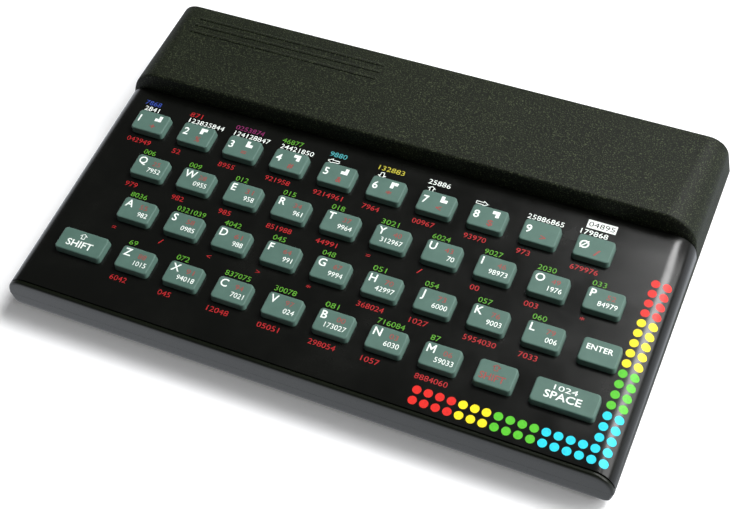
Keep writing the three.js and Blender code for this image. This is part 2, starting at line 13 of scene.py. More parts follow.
import bmesh
import bpy
import numpy as np
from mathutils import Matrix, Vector


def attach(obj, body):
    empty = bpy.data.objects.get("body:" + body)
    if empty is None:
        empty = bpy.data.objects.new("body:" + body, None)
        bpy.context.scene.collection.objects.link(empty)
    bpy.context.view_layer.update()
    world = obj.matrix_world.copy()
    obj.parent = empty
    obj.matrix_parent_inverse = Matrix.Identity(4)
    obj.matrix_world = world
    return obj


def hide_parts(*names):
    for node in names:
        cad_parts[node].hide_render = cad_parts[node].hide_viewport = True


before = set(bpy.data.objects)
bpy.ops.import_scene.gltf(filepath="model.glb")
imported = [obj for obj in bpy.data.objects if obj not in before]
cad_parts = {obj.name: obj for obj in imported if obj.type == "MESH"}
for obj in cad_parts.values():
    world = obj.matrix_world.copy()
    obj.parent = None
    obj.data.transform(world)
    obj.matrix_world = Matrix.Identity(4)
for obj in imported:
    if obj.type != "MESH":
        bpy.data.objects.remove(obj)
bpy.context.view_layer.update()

log = logging.getLogger("computer")

Array = np.ndarray
Colour = tuple[float, float, float]
Socket = bpy.types.NodeSocket
Outline = tuple[tuple[float, ...], ...]
Range = tuple[float, float]

METRES = 0.001


def linear(red: int, green: int, blue: int) -> Colour:
    """Turns a screen colour into scene values.

    Each channel c, taken as a share of 255, becomes ((c + 0.055) / 1.055) to the power 2.4.

    Args:
        red: Red from 0 to 255.
        green: Green from 0 to 255.
        blue: Blue from 0 to 255.

    Returns:
        The three scene values from 0 to 1.
    """
    shares = np.array([red, green, blue]) / 255
    values = np.where(shares <= 0.04045, shares / 12.92, ((shares + 0.055) / 1.055) ** 2.4)
    return tuple(float(value) for value in values)


class Surface:
    """Grids and caps of one mesh, gathered as whole arrays in millimetres."""

    def __init__(self) -> None:
        """Starts with nothing in it."""
        self.points: list[Array] = []
        self.faces: list[list[int]] = []
        self.marks: list[int] = []
        self.count = 0

    def add(self, points: Array, faces: list[list[int]], mark: int = 0) -> None:
        """Adds points and the faces that join them.

        Args:
            points: Places, one row each.
            faces: Corner numbers of each face, counted within these points.
            mark: Number of the finish that the faces take.
        """
        self.points.append(points.reshape(-1, 3))
        shifted = [[corner + self.count for corner in face] for face in faces]
        self.faces.extend(shifted)
        self.marks.extend([mark] * len(faces))
        self.count += len(self.points[-1])

    def grid(self, points: Array, around: bool = False, mark: int = 0) -> None:
        """Adds a grid of quads.

        The quad at row r and column c joins the points (r, c), (r, c+1), (r+1, c+1) and (r+1, c).

        Args:
            points: Places as rows by columns by 3.
            around: True where the last column joins the first.
            mark: Number of the finish that the faces take.
        """
        rows, columns = points.shape[:2]
        numbers = np.arange(rows * columns).reshape(rows, columns)
        if around:
            numbers = np.concatenate([numbers, numbers[:, :1]], axis=1)
        quads = np.stack(
            [numbers[:-1, :-1], numbers[:-1, 1:], numbers[1:, 1:], numbers[1:, :-1]], axis=-1
        )
        self.add(points, quads.reshape(-1, 4).tolist(), mark)

    def tube(self, rings: Array, mark: int = 0) -> None:
        """Adds closed rings skinned one to the next, with a flat face over each end.

        Args:
            rings: Places as rings by points by 3.
            mark: Number of the finish that the faces take.
        """
        self.grid(rings, around=True, mark=mark)
        count = rings.shape[1]
        self.add(rings[0], [list(range(count))[::-1]], mark)
        self.add(rings[-1], [list(range(count))], mark)

    def lathe(self, profile: Array, centre: Array, sides: int = 48, mark: int = 0) -> None:
        """Adds a turned form about an upright line.

        A profile point (radius, z) goes round as (radius cos a, radius sin a, z) for a from 0 to
        360 degrees. A radius of zero at either end closes the form at its pole.

        Args:
            profile: Radius and height of each ring, one row each.
            centre: X and y of the line.
            sides: Steps in a turn.
            mark: Number of the finish that the faces take.
        """
        turn = np.linspace(0, 2 * np.pi, sides, endpoint=False)
        radius, height = profile[:, :1], profile[:, 1:]
        x, y = centre[0] + radius * np.cos(turn), centre[1] + radius * np.sin(turn)
        self.grid(np.stack([x, y, height + 0 * turn], axis=-1), around=True, mark=mark)

    def piece(self, name: str, crease: float = 30, weld: float = 0.002) -> bpy.types.Object:
        """Writes the mesh in metres, closes its seams and turns its faces outwards.

        Args:
            name: Name of the new object.
            crease: Angle in degrees past which an edge shades sharp.
            weld: Distance in millimetres under which points are merged; edges shorter than a
                quarter of it are dissolved.

        Returns:
            The new object, at the origin.
        """
        mesh = bpy.data.meshes.new(name)
        points = np.concatenate(self.points) * METRES
        mesh.from_pydata(points.tolist(), [], self.faces)
        mesh.polygons.foreach_set("material_index", self.marks)
        work = bmesh.new()
        work.from_mesh(mesh)
        bmesh.ops.remove_doubles(work, verts=work.verts, dist=weld * METRES)
        bmesh.ops.dissolve_degenerate(work, dist=weld * METRES / 4, edges=work.edges)
        bmesh.ops.recalc_face_normals(work, faces=work.faces)
        if work.calc_volume(signed=True) < 0:
            bmesh.ops.reverse_faces(work, faces=work.faces)
        work.to_mesh(mesh)
        work.free()
        thing = bpy.data.objects.new(name, mesh)
        bpy.context.scene.collection.objects.link(thing)
        shade(mesh, crease)
        return thing


def shade(mesh: bpy.types.Mesh, crease: float) -> None:
    """Shades a mesh smooth, with its sharper edges kept sharp.

    Args:
        mesh: The mesh.
        crease: Angle in degrees past which an edge is sharp.
    """
    mesh.polygons.foreach_set("use_smooth", [True] * len(mesh.polygons))
    mesh.set_sharp_from_angle(angle=math.radians(crease))
    mesh.update()


class Joining(Enum):
    """Ways of working one solid into another."""

    CUT = "DIFFERENCE"
    ADD = "UNION"


def work_in(
    piece: bpy.types.Object, tool: bpy.types.Object, way: Joining, crease: float = 30
) -> None:
    """Cuts or adds one solid into another for good, and takes the tool away.

    Args:
        piece: Solid that is kept.
        tool: Solid that is cut out of it or added to it.
        way: Which of the two is done.
        crease: Angle in degrees past which an edge shades sharp.
    """
    modifier = piece.modifiers.new("work", "BOOLEAN")
    modifier.operation = way.value
    modifier.solver = "MANIFOLD"
    modifier.object = tool
    scene_graph = bpy.context.evaluated_depsgraph_get()
    result = bpy.data.meshes.new_from_object(piece.evaluated_get(scene_graph))
    piece.modifiers.clear()
    piece.data = result
    bpy.data.objects.remove(tool)
    shade(result, crease)


def mark_front(piece: bpy.types.Object, y: float) -> None:
    """Marks the faces near the front with the second finish.

    Args:
        piece: The piece.
        y: Place in millimetres; a face is marked where its middle lies in front of it.
    """
    polygons = piece.data.polygons
    middles = np.empty(len(polygons) * 3)
    polygons.foreach_get("center", middles)
    polygons.foreach_set("material_index", (middles[1::3] < y * METRES).astype(np.int32))


def quarter(radius: float, steps: int) -> tuple[Array, Array]:
    """Distances along and in from a rounded edge.

    At angle a from 0 to 90 degrees the edge has come along by radius (1 - cos a), and still lies
    in by radius (1 - sin a).

    Args:
        radius: Radius of the edge.
        steps: Steps in the quarter turn.

    Returns:
        The distances along and the distances in.
    """
    angle = np.linspace(0, np.pi / 2, steps + 1)
    return radius * (1 - np.cos(angle)), radius * (1 - np.sin(angle))


def rounded_ring(width: float, depth: float, corner: float, steps: int = 6) -> Array:
    """A rounded rectangle about the origin, anticlockwise.

    Each quarter turn lies about a centre that is in from the corner by the corner's radius.

    Args:
        width: Size along x.
        depth: Size along y.
        corner: Radius of its corners.
        steps: Steps in each corner.

    Returns:
        The points, as x and y.
    """
    spots = np.array([[1, 1], [-1, 1], [-1, -1], [1, -1]], dtype=float)
    centres = spots * [width / 2 - corner, depth / 2 - corner]
    angle = np.arange(4)[:, None] * np.pi / 2 + np.linspace(0, np.pi / 2, steps + 1)
    turn = np.stack([np.cos(angle), np.sin(angle)], axis=-1)
    return (centres[:, None] + corner * turn).reshape(-1, 2)


def prism(ring: Array, low: float, high: float) -> Array:
    """Two level copies of a ring.

    Args:
        ring: Its points, as x and y.
        low: Height of the first copy.
        high: Height of the second.

    Returns:
        Places as rings by points by 3.
    """
    lower = np.column_stack([ring, np.full(len(ring), low)])
    upper = np.column_stack([ring, np.full(len(ring), high)])
    return np.stack([lower, upper])


@dataclass(frozen=True)
class CaseForm:
    """Sizes of the wedge-shaped case that its pieces share."""

    half_width: float = 117.425
    front: float = -71.9865
    rear: float = 71.9865
    front_height: float = 16.0
    crest_height: float = 30.0
    rear_height: float = 27.8
    deck_tilt: float = math.radians(3.87)
    step_distance: float = 99.4
    step_lean: float = 1.3
    lip: float = 1.6
    deck_shoulder: float = 8.0
    crest_shoulder: float = 13.0
    rear_shoulder: float = 8.5
    side_lean: float = math.radians(10)
    base_lean: float = math.radians(12)
    base_shoulder: float = 2.6
    front_seam: float = 7.5
    rear_seam: float = 12.0
    seam_line: float = 0.06
    base: float = 1.5
    wall: float = 2.2
    tray: float = 6.8
    pocket: float = 4.9
    pocket_half_width: float = 108.075
    pocket_front: float = 15.1
    pocket_rear: float = 90.2
    plate: float = 0.7
    plate_rise: float = 2.0
    gap: float = 0.3

    @property
    def step_foot(self) -> float:
        """Y of the step's foot, at the rear of the deck."""
        return self.deck_y(self.step_distance)

    @property
    def crest(self) -> float:
        """Y of the step's top edge."""
        return self.step_foot + self.step_lean

    def deck_top(self, y: Array) -> Array:
        """Height of the deck at y, a plane that rises from the front at the deck's tilt."""
        return self.front_height + (y - self.front) * math.tan(self.deck_tilt)

    def hump_top(self, y: Array) -> Array:
        """Height of the hump at y, a plane that falls from the crest to the rear."""
        share = (y - self.crest) / (self.rear - self.crest)
        return self.crest_height + share * (self.rear_height - self.crest_height)

    def seam(self, y: Array) -> Array:
        """Height of the line where the two halves of the case meet."""
        share = (y - self.front) / (self.rear - self.front)
        return self.front_seam + share * (self.rear_seam - self.front_seam)

    def ledge(self, y: Array, top: Array, shoulder: Array | float, rise: float) -> Array:
        """Share of the straight side, from its foot up, at which a ledge lies.

        The ledge runs along the seam, at the height rise above it.

        Args:
            y: Place of each row.
            top: Height of its level line.
            shoulder: Radius of its shoulder.
            rise: Height of the ledge above the seam.

        Returns:
            The shares, one for each row.
        """
        return rise / (top - shoulder * (1 - math.sin(self.side_lean)) - self.seam(y))

    def shoulder_start(self, s: Array) -> Array:
        """X at which the deck begins to roll over into the right side.

        Args:
            s: Distance of each place along the deck.

        Returns:
            The x of each.
        """
        y = self.deck_y(s)
        corner = self.half_width - (self.deck_top(y) - self.seam(y)) * math.tan(self.side_lean)
        return corner - self.deck_shoulder * math.tan((math.pi / 2 - self.side_lean) / 2)

    def deck_y(self, s: Array | float) -> Array | float:
        """Y of a place on the deck's surface at the distance s."""
        return self.front + s * math.cos(self.deck_tilt)

    def on_deck(self, places: Array) -> Array:
        """Turns places on the deck into places in the row frame.

        The deck's plane is turned up by its tilt about the case's front top edge.

        Args:
            places: x, s and h, one row each.

        Returns:
            x, y and z, one row each.
        """
        x, s, h = np.moveaxis(places, -1, 0)
        cosine, sine = math.cos(self.deck_tilt), math.sin(self.deck_tilt)
        y = self.front + s * cosine - h * sine
        z = self.front_height + s * sine + h * cosine
        return np.stack([x, y, z], axis=-1)


# Shares of a straight side at which its columns lie, from its top down, and of a ledge's rise.
WALL_SHARES = np.array([0.66, 0.33, 0.0])
LEDGE_SHARES = np.array([1.0, 0.5, 0.0])

# Least distance in millimetres between a row's level line and its shoulder.
SHOULDER_GAP = 0.06


@dataclass(frozen=True)
class Columns:
    """Columns of a case section, from the middle line out to the side's foot.

    Level holds places on the level line, angle those on the shoulder, and share those on the
    straight side, from its top down, either the same for all rows or one line for each row.
    """

    level: Array
    angle: Array
    share: Array

    @property
    def count(self) -> int:
        """Columns from the middle to the foot."""
        return len(self.level) + len(self.angle) + self.share.shape[-1]


def section_skin(
    y: Array,
    half_width: float,
    base: Array,
    top: Array | float,
    shoulder: Array | float,
    lean: float,
    columns: Columns,
    sink: Array,
) -> Array:
    """A skin over the case, one section of it for each row.

    The right half of a row is a level line, then a round shoulder that turns from the upright to
    the side's lean, then a straight side down to its foot at the base. Every point is then moved in
    along its own normal by sink; the foot stays level. With the top below the base the section
    hangs down. The left half mirrors the right one.

    Args:
        y: Place of each row.
        half_width: Half the width at the base.
        base: Height of the foot, one for each row.
        top: Height of the level line.
        shoulder: Radius of the shoulder.
        lean: Angle that the side leans in by, in radians.
        columns: Where the columns lie.
        sink: Distance moved in, rows by columns.

    Returns:
        Places as rows by columns by 3, from the left foot to the right foot.
    """
    count = len(y)
    y, base, top, shoulder = (
        np.broadcast_to(values, count).astype(float)[:, None] for values in (y, base, top, shoulder)
    )
    upward = np.sign(top - base)
    corner = half_width - np.abs(top - base) * math.tan(lean)
    centre = corner - shoulder * math.tan((math.pi / 2 - lean) / 2)
    level_x = columns.level * np.minimum(1, (centre - SHOULDER_GAP) / np.max(columns.level))
    arc_x = centre + shoulder * np.cos(columns.angle)
    arc_z = top - upward * shoulder * (1 - np.sin(columns.angle))
    start_x = centre + shoulder * math.cos(lean)
    start_z = top - upward * shoulder * (1 - math.sin(lean))
    share = columns.share + 0 * top
    side_x = half_width + (start_x - half_width) * share
    side_z = base + (start_z - base) * share
    x = np.concatenate([level_x, arc_x, side_x], axis=1)
    z = np.concatenate([top + 0 * level_x, arc_z, side_z], axis=1)
    turn_x, turn_z = (wave(columns.angle) + 0 * arc_x for wave in (np.cos, np.sin))
    lean_x, lean_z = math.cos(lean) + 0 * share, math.sin(lean) * share
    x = x - sink * np.concatenate([0 * level_x, turn_x, lean_x], axis=1)
    z = z - upward * sink * np.concatenate([1 + 0 * level_x, turn_z, lean_z], axis=1)
    right = np.stack([x, y + 0 * x, z], axis=-1)
    left = right[:, :0:-1] * [-1, 1, 1]
    return np.concatenate([left, right], axis=1)


def face_rows(edge: Array, base: float, steps: int = 3) -> Array:
    """Rows of an upright end face, straight up from its base to the row that edges it.

    At the share t from 0 to 1, each point is at its own x and y, and at base + t (z - base).

    Args:
        edge: Row of places along the face's edge.
        base: Height of the face's foot.
        steps: Rows made.

    Returns:
        Places as rows by columns by 3, from the foot up, without the edge itself.
    """
    share = np.linspace(0, 1, steps, endpoint=False)[:, None]
    x, y, z = edge[:, 0], edge[:, 1], edge[:, 2]
    return np.stack([x + 0 * share, y + 0 * share, base + share * (z - base)], axis=-1)


def closed_wall(outer: Array, inner: Array) -> Surface:
    """Joins an outer and an inner skin along all their edges.

    Args:
        outer: Outer skin, as rows by columns by 3.
        inner: Inner skin, with as many rows and columns.

    Returns:
        The closed wall.
    """
    wall = Surface()
    wall.grid(outer)
    wall.grid(inner)
    for row in (0, -1):
        wall.grid(np.stack([outer[row], inner[row]]))
    for column in (0, -1):
        wall.grid(np.stack([outer[:, column], inner[:, column]]))
    return wall


@dataclass
class Rows:
    """Rows of an outer skin from front to rear, gathered in step."""

    table: list[Array] = field(default_factory=list)

    def add(
        self,
        y: Array | float,
        top: Array | float,
        shoulder: Array | float,
        edge: Array | float = 0,
        recess: Array | float = 0,
        pocket: float = 0,
    ) -> None:
        """Adds rows; a single value stands for all of them.

        Args:
            y: Place of each row.
            top: Height of its level line.
            shoulder: Radius of its shoulder.
            edge: Distance that the whole row lies in.
            recess: Distance that the plate's bed lies in.
            pocket: Distance that the key mat's pocket lies in.
        """
        values = np.atleast_1d(y, top, shoulder, edge, recess, pocket)
        self.table.append(np.stack(np.broadcast_arrays(*values)).astype(float))

    def values(self) -> Array:
        """The six kinds of value, one line each."""
        return np.concatenate(self.table, axis=1)


class Nodes:
    """Adds shader nodes to a material and links them."""

    def __init__(self, tree: bpy.types.NodeTree) -> None:
        """Keeps the tree and empties it."""
        self.tree = tree
        tree.nodes.clear()

    def add(self, kind: str, inputs: dict | None = None, **settings: object) -> bpy.types.Node:
        """Adds a node.

        Args:
            kind: Type name of the node.
            inputs: Values or sockets for its inputs, by name or number.
            settings: Properties of the node.

        Returns:
            The node.
        """
        node = self.tree.nodes.new(kind)
        for name, value in settings.items():
            setattr(node, name, value)
        for key, value in (inputs or {}).items():
            if isinstance(value, Socket):
                self.tree.links.new(value, node.inputs[key])
            else:
                node.inputs[key].default_value = value
        return node

    def calc(self, operation: str, *values: Socket | float) -> Socket:
        """The result of a math node on one or two values."""
        inputs = dict(enumerate(values))
        return self.add("ShaderNodeMath", inputs, operation=operation).outputs[0]

    def position(self) -> Socket:
        """The Object coordinates, in metres."""
        return self.add("ShaderNodeTexCoord").outputs["Object"]

    def parts(self, vector: Socket) -> list[Socket]:
        """The x, y and z of a vector."""
        return list(self.add("ShaderNodeSeparateXYZ", {"Vector": vector}).outputs)

    def noise(self, size: float, detail: float = 4, rough: float = 0.6) -> Socket:
        """Cloudy noise over the Object coordinates.

        Args:
            size: About how many millimetres its features are across.
            detail: How many finer layers it has.
            rough: How strong they are.

        Returns:
            The noise, from 0 to 1.
        """
        inputs = {
            "Vector": self.position(),
            "Scale": 1 / (size * METRES),
            "Detail": detail,
            "Roughness": rough,
        }
        return self.add("ShaderNodeTexNoise", inputs).outputs["Fac"]

    def span(
        self, value: Socket, low: float, high: float, to_low: float, to_high: float
    ) -> Socket:
        """Maps one range of values to another and holds its ends.

        Args:
            value: The value.
            low: Start of its range.
            high: End of its range.
            to_low: What the start becomes.
            to_high: What the end becomes.

        Returns:
            The mapped value.
        """
        names = ("Value", "From Min", "From Max", "To Min", "To Max")
        inputs = dict(zip(names, (value, low, high, to_low, to_high)))
        return self.add("ShaderNodeMapRange", inputs).outputs["Result"]

    def blend(self, share: Socket, first: Colour | Socket, second: Colour | Socket) -> Socket:
        """Goes from one colour to another.

        Args:
            share: Share of the second colour, from 0 to 1.
            first: The first colour.
            second: The second.

        Returns:
            The mixed colour.
        """
        first, second = (
            colour if isinstance(colour, Socket) else (*colour, 1) for colour in (first, second)
        )
        inputs = {"Factor": share, 6: first, 7: second}
        return self.add("ShaderNodeMix", inputs, data_type="RGBA").outputs[2]

    def bump(self, height: Socket, depth: float, strength: Socket | float = 1.0) -> Socket:
        """A normal from a height that reaches depth millimetres."""
        inputs = {"Height": height, "Strength": strength, "Distance": depth * METRES}
        return self.add("ShaderNodeBump", inputs).outputs["Normal"]

    def solid(
        self,
        colour: Socket,
        roughness: Socket | float,
        normal: Socket,
        more: dict[str, Socket | float],
    ) -> None:
        """Ends the tree with a solid surface.

        Args:
            colour: Its colour.
            roughness: Its roughness.
            normal: Its bumped normal.
            more: Further inputs of the shader, by name.
        """
        inputs = {"Base Color": colour, "Roughness": roughness, "Normal": normal, **more}
        self.surface(self.add("ShaderNodeBsdfPrincipled", inputs).outputs["BSDF"])

    def surface(self, shader: Socket) -> None:
        """Ends the tree with this shader."""
        self.add("ShaderNodeOutputMaterial", {"Surface": shader})


class Finish:
    """What every finish of the object shares: a name and a material that is made once."""

    name: str
    made: dict[str, bpy.types.Material] = {}

    def material(self) -> bpy.types.Material:
        """The finish's material, built on first use.

        Returns:
            The material.
        """
        if self.name not in Finish.made:
            material = bpy.data.materials.new(self.name)
            material.use_nodes = True
            self.build(Nodes(material.node_tree))
            Finish.made[self.name] = material
        return Finish.made[self.name]

    def build(self, nodes: Nodes) -> None:
        """Builds the finish's nodes in the tree; each finish has its own."""
        raise NotImplementedError


@dataclass(frozen=True)
class MouldedPlastic(Finish):
    """Injection-moulded plastic with a spark-eroded grain and slight blotches.

    The grain is a fine noise that drives the bump, the gloss and painted glints, light spots
    painted on its high points, and a broad noise shifts the colour between two close tones. Where
    front_gloss is above zero the plastic gets smoother by that much from front_end forward to
    front_start, along y in millimetres, and its grain and painted glints fade there to the share
    front_grain.
    """

    name: str
    colour: Colour
    worn: Colour
    # Colour of the painted glints on the grain's high points; None leaves them out.
    speck: Colour | None = None
    roughness: float = 0.5
    grain: float = 0.6
    depth: float = 0.04
    specular: float = 0.5
    front_gloss: float = 0.0
    front_start: float = -62.0
    front_end: float = 15.0
    front_grain: float = 0.12
    blotch: float = 38.0
    blotch_range: Range = (0.35, 0.7)
    fleck_range: Range = (0.54, 0.72)
    spread: float = 0.06

    def build(self, nodes: Nodes) -> None:
        """Builds the finish's nodes.

        Args:
            nodes: Tree that they go into.
        """
        grain = nodes.noise(self.grain, detail=2, rough=0.5)
        cloud = nodes.span(nodes.noise(self.blotch, detail=3), *self.blotch_range, 0, 1)
        colour = nodes.blend(cloud, self.colour, self.worn)
        # Painted glints: a light colour laid on the grain's highest points.
        glints = nodes.span(grain, *self.fleck_range, 0, 1)
        ends = self.roughness - self.spread, self.roughness + self.spread
        rough = nodes.span(grain, 0.25, 0.75, *ends)
        strength = 1.0
        if self.front_gloss:
            y = nodes.parts(nodes.position())[1]
            ends = self.front_start * METRES, self.front_end * METRES
            rough = nodes.calc("SUBTRACT", rough, nodes.span(y, *ends, self.front_gloss, 0))
            strength = nodes.span(y, *ends, self.front_grain, 1)
            glints = nodes.calc("MULTIPLY", glints, strength)
        if self.speck:
            colour = nodes.blend(glints, colour, self.speck)
        normal = nodes.bump(grain, self.depth, strength)
        nodes.solid(colour, rough, normal, {"Specular IOR Level": self.specular})


@dataclass(frozen=True)
class EnamelledMetal(Finish):
    """Black stoving enamel on sheet metal, nearly smooth, with faint waviness and handling marks.

    A very fine noise breaks up the gloss, and a broad one gives the sheet its slight waviness.
    """

    name: str
    colour: Colour
    worn: Colour
    roughness: float = 0.25
    specular: float = 0.3
    smear: float = 22.0
    smear_range: Range = (0.45, 0.8)
    spread: Range = (-0.04, 0.08)
    speckle: float = 0.5
    speckle_depth: float = 0.004
    wave: float = 55.0
    wave_depth: float = 0.25

    def build(self, nodes: Nodes) -> None:
        """Builds the finish's nodes.

        Args:
            nodes: Tree that they go into.
        """
        smear = nodes.noise(self.smear, detail=5, rough=0.65)
        share = nodes.span(smear, *self.smear_range, 0, 1)
        colour = nodes.blend(share, self.colour, self.worn)
        low, high = self.spread
        rough = nodes.span(smear, 0.3, 0.75, self.roughness + low, self.roughness + high)
        normal = nodes.bump(nodes.noise(self.wave, detail=1), self.wave_depth)
        fine = nodes.bump(nodes.noise(self.speckle, detail=2), self.speckle_depth)
        nodes.tree.links.new(fine, normal.node.inputs["Normal"])
        nodes.solid(colour, rough, normal, {"Specular IOR Level": self.specular})


@dataclass(frozen=True)
class MouldedRubber(Finish):
    """Matt silicone rubber with a dusty bloom.

    A fine noise gives the skin its texture, and a middle-sized one lightens it in soft patches.
    """

    name: str
    colour: Colour
    bloom: Colour
    roughness: float = 0.6
    specular: float = 0.4
    sheen: float = 0.15
    sheen_roughness: float = 0.5
    skin: float = 0.35
    skin_depth: float = 0.012
    patch: float = 6.5
    patch_range: Range = (0.35, 0.7)
    spread: float = 0.07

    def build(self, nodes: Nodes) -> None:
        """Builds the finish's nodes.

        Args:
            nodes: Tree that they go into.
        """
        skin = nodes.noise(self.skin, detail=3, rough=0.65)
        patch = nodes.span(nodes.noise(self.patch), *self.patch_range, 0, 1)
        colour = nodes.blend(patch, self.colour, self.bloom)
        ends = self.roughness - self.spread, self.roughness + self.spread
        rough = nodes.span(skin, 0.3, 0.7, *ends)
        more = {
            "Specular IOR Level": self.specular,
            "Sheen Weight": self.sheen,
            "Sheen Roughness": self.sheen_roughness,
        }
        nodes.solid(colour, rough, nodes.bump(skin, self.skin_depth), more)


@dataclass(frozen=True)
class Ink(Finish):
    """Screen-printed ink, a little uneven in cover.

    A fine noise takes the colour towards a thinner tone where the screen laid less ink.
    """

    name: str
    colour: Colour
    thin: Colour
    roughness: float = 0.45
    specular: float = 0.3
    cover: float = 0.9
    cover_range: Range = (0.5, 0.85)
    depth: float = 0.004

    def build(self, nodes: Nodes) -> None:
        """Builds the finish's nodes.

        Args:
            nodes: Tree that they go into.
        """
        cover = nodes.noise(self.cover, rough=0.7)
        share = nodes.span(cover, *self.cover_range, 0, 1)
        colour = nodes.blend(share, self.colour, self.thin)
        more = {"Specular IOR Level": self.specular}
        nodes.solid(colour, self.roughness, nodes.bump(cover, self.depth), more)


@dataclass(frozen=True)
class BareMetal(Finish):
    """Bare sheet metal or plated steel with fine rolling lines.

    A noise stretched along one axis gives the lines, which roughen the metal and shift its tone.
    """

    name: str
    colour: Colour
    dull: Colour
    roughness: float = 0.35
    line_spacing: float = 0.4
    line_stretch: float = 0.06
    line_depth: float = 0.006
    stain: float = 7.0
    stain_range: Range = (0.4, 0.75)
    spread: Range = (-0.08, 0.12)

    def build(self, nodes: Nodes) -> None:
        """Builds the finish's nodes.

        Args:
            nodes: Tree that they go into.
        """
        inputs = {"Vector": nodes.position(), "Scale": (self.line_stretch, 1.0, 1.0)}
        drawn = nodes.add("ShaderNodeMapping", inputs).outputs["Vector"]
        inputs = {"Vector": drawn, "Scale": 1 / (self.line_spacing * METRES), "Detail": 4}
        lines = nodes.add("ShaderNodeTexNoise", inputs).outputs["Fac"]
        stain = nodes.span(nodes.noise(self.stain), *self.stain_range, 0, 1)
        colour = nodes.blend(stain, self.colour, self.dull)
        low, high = self.spread
        rough = nodes.span(lines, 0.3, 0.7, self.roughness + low, self.roughness + high)
        nodes.solid(colour, rough, nodes.bump(lines, self.line_depth), {"Metallic": 1.0})


@dataclass(frozen=True)
class CircuitBoard(Finish):
    """Green laminate with tracks, dark parts above it and gold contacts along its rear edge.

    Below the board's top the colour is solder mask, patterned by the edges of square cells; above
    it everything is the black of chip bodies. Stripes along x near the rear edge are gold.
    """

    name: str
    mask: Colour
    track: Colour
    part: Colour
    gold: Colour
    cell: float = 2.4
    top: float = 8.26
    contact_front: float = 57.0
    contact_pitch: float = 2.54
    contact_range: Range = (-0.35, -0.2)
    slot_left: float = -16.5
    slot_right: float = 54.5
    blur: float = 0.1
    part_blur: float = 0.04
    track_range: Range = (0.42, 0.5)
    grain: float = 0.6
    depth: float = 0.01
    rough_range: Range = (0.3, 0.45)

    def beyond(self, nodes: Nodes, place: Socket, edge: float, blur: float) -> Socket:
        """Tells one side of an edge from the other.

        Args:
            nodes: Tree that the nodes go into.
            place: Coordinate that is told apart, in metres.
            edge: Place of the edge, in millimetres.
            blur: Width of the change in millimetres; a negative one turns the sides round.

        Returns:
            Zero before the edge and one beyond it.
        """
        low, high = sorted((edge, edge + blur))
        ends = (0, 1) if blur > 0 else (1, 0)
        return nodes.span(place, low * METRES, high * METRES, *ends)

    def build(self, nodes: Nodes) -> None:
        """Builds the finish's nodes.

        Args:
            nodes: Tree that they go into.
        """
        x, y, z = nodes.parts(nodes.position())
        inputs = {"Vector": nodes.position(), "Scale": 1 / (self.cell * METRES)}
        cells = nodes.add("ShaderNodeTexVoronoi", inputs, distance="CHEBYCHEV", feature="F1")
        tracks = nodes.span(cells.outputs["Distance"], *self.track_range, 0, 1)
        turns = nodes.calc("MULTIPLY", x, 2 * math.pi / (self.contact_pitch * METRES))
        share = nodes.span(nodes.calc("SINE", turns), *self.contact_range, 0, 1)
        for limit in (
            self.beyond(nodes, y, self.contact_front, self.blur),
            self.beyond(nodes, x, self.slot_left, self.blur),
            self.beyond(nodes, x, self.slot_right, -self.blur),
        ):
            share = nodes.calc("MULTIPLY", share, limit)
        green = nodes.blend(tracks, self.mask, self.track)
        plated = nodes.blend(share, green, self.gold)
        raised = self.beyond(nodes, z, self.top - self.part_blur / 2, self.part_blur)
        colour = nodes.blend(raised, plated, self.part)
        grain = nodes.noise(self.grain, detail=3)
        rough = nodes.span(grain, 0.3, 0.7, *self.rough_range)
        nodes.solid(colour, rough, nodes.bump(grain, self.depth), {"Metallic": share})


CASE_PLASTIC = MouldedPlastic(
    "case_plastic",
    linear(12, 16, 8),
    linear(16, 20, 11),
    # Light colour of the painted glints on the grain's high points.
    speck=linear(68, 76, 54),
    roughness=0.54,
    grain=0.5,
    depth=0.15,
    specular=0.15,
    front_gloss=0.22,
)
FRONT_PLASTIC = MouldedPlastic(
    "front_plastic",
    linear(12, 16, 8),
    linear(16, 20, 11),
    roughness=0.32,
    grain=0.5,
    depth=0.02,
    specular=0.38,
)
PLATE_ENAMEL = EnamelledMetal(
    "plate_enamel", linear(9, 10, 8), linear(13, 14, 11), roughness=0.22, specular=0.34
)
KEY_RUBBER = MouldedRubber("key_rubber", linear(66, 96, 86), linear(73, 103, 93))
FOOT_RUBBER = MouldedRubber("foot_rubber", linear(30, 31, 31), linear(42, 43, 43), sheen=0.05)
MAT_RUBBER = MouldedRubber("mat_rubber", linear(60, 66, 64), linear(70, 76, 74))
SOCKET_PLASTIC = MouldedPlastic(
    "socket_plastic", linear(22, 22, 23), linear(28, 28, 29), roughness=0.35, grain=0.7
)
MEMBRANE_FILM = MouldedPlastic(
    "membrane_film", linear(190, 196, 188), linear(204, 208, 200), roughness=0.3, depth=0.005
)
SCREW_STEEL = BareMetal("screw_steel", linear(150, 150, 148), linear(112, 110, 106), 0.3)
MODULATOR_TIN = BareMetal("modulator_tin", linear(190, 190, 186), linear(160, 160, 154), 0.32)
HEATSINK_METAL = BareMetal("heatsink_metal", linear(196, 198, 200), linear(170, 172, 174), 0.4)
BOARD_LAMINATE = CircuitBoard(
    "board_laminate",
    mask=linear(28, 92, 52),
    track=linear(50, 128, 74),
    part=linear(26, 26, 27),
    gold=linear(214, 170, 84),
)


class Print(Enum):
    """Inks on the keys and the plate, each with the number that its faces are marked with."""

    WHITE = 0
    RED = 1
    GREEN = 2
    DULL_RED = 3
    BLUE = 4
    MAGENTA = 5
    CYAN = 6
    YELLOW = 7
    BLACK = 8
    DOT_RED = 9
    DOT_YELLOW = 10
    DOT_GREEN = 11
    DOT_CYAN = 12


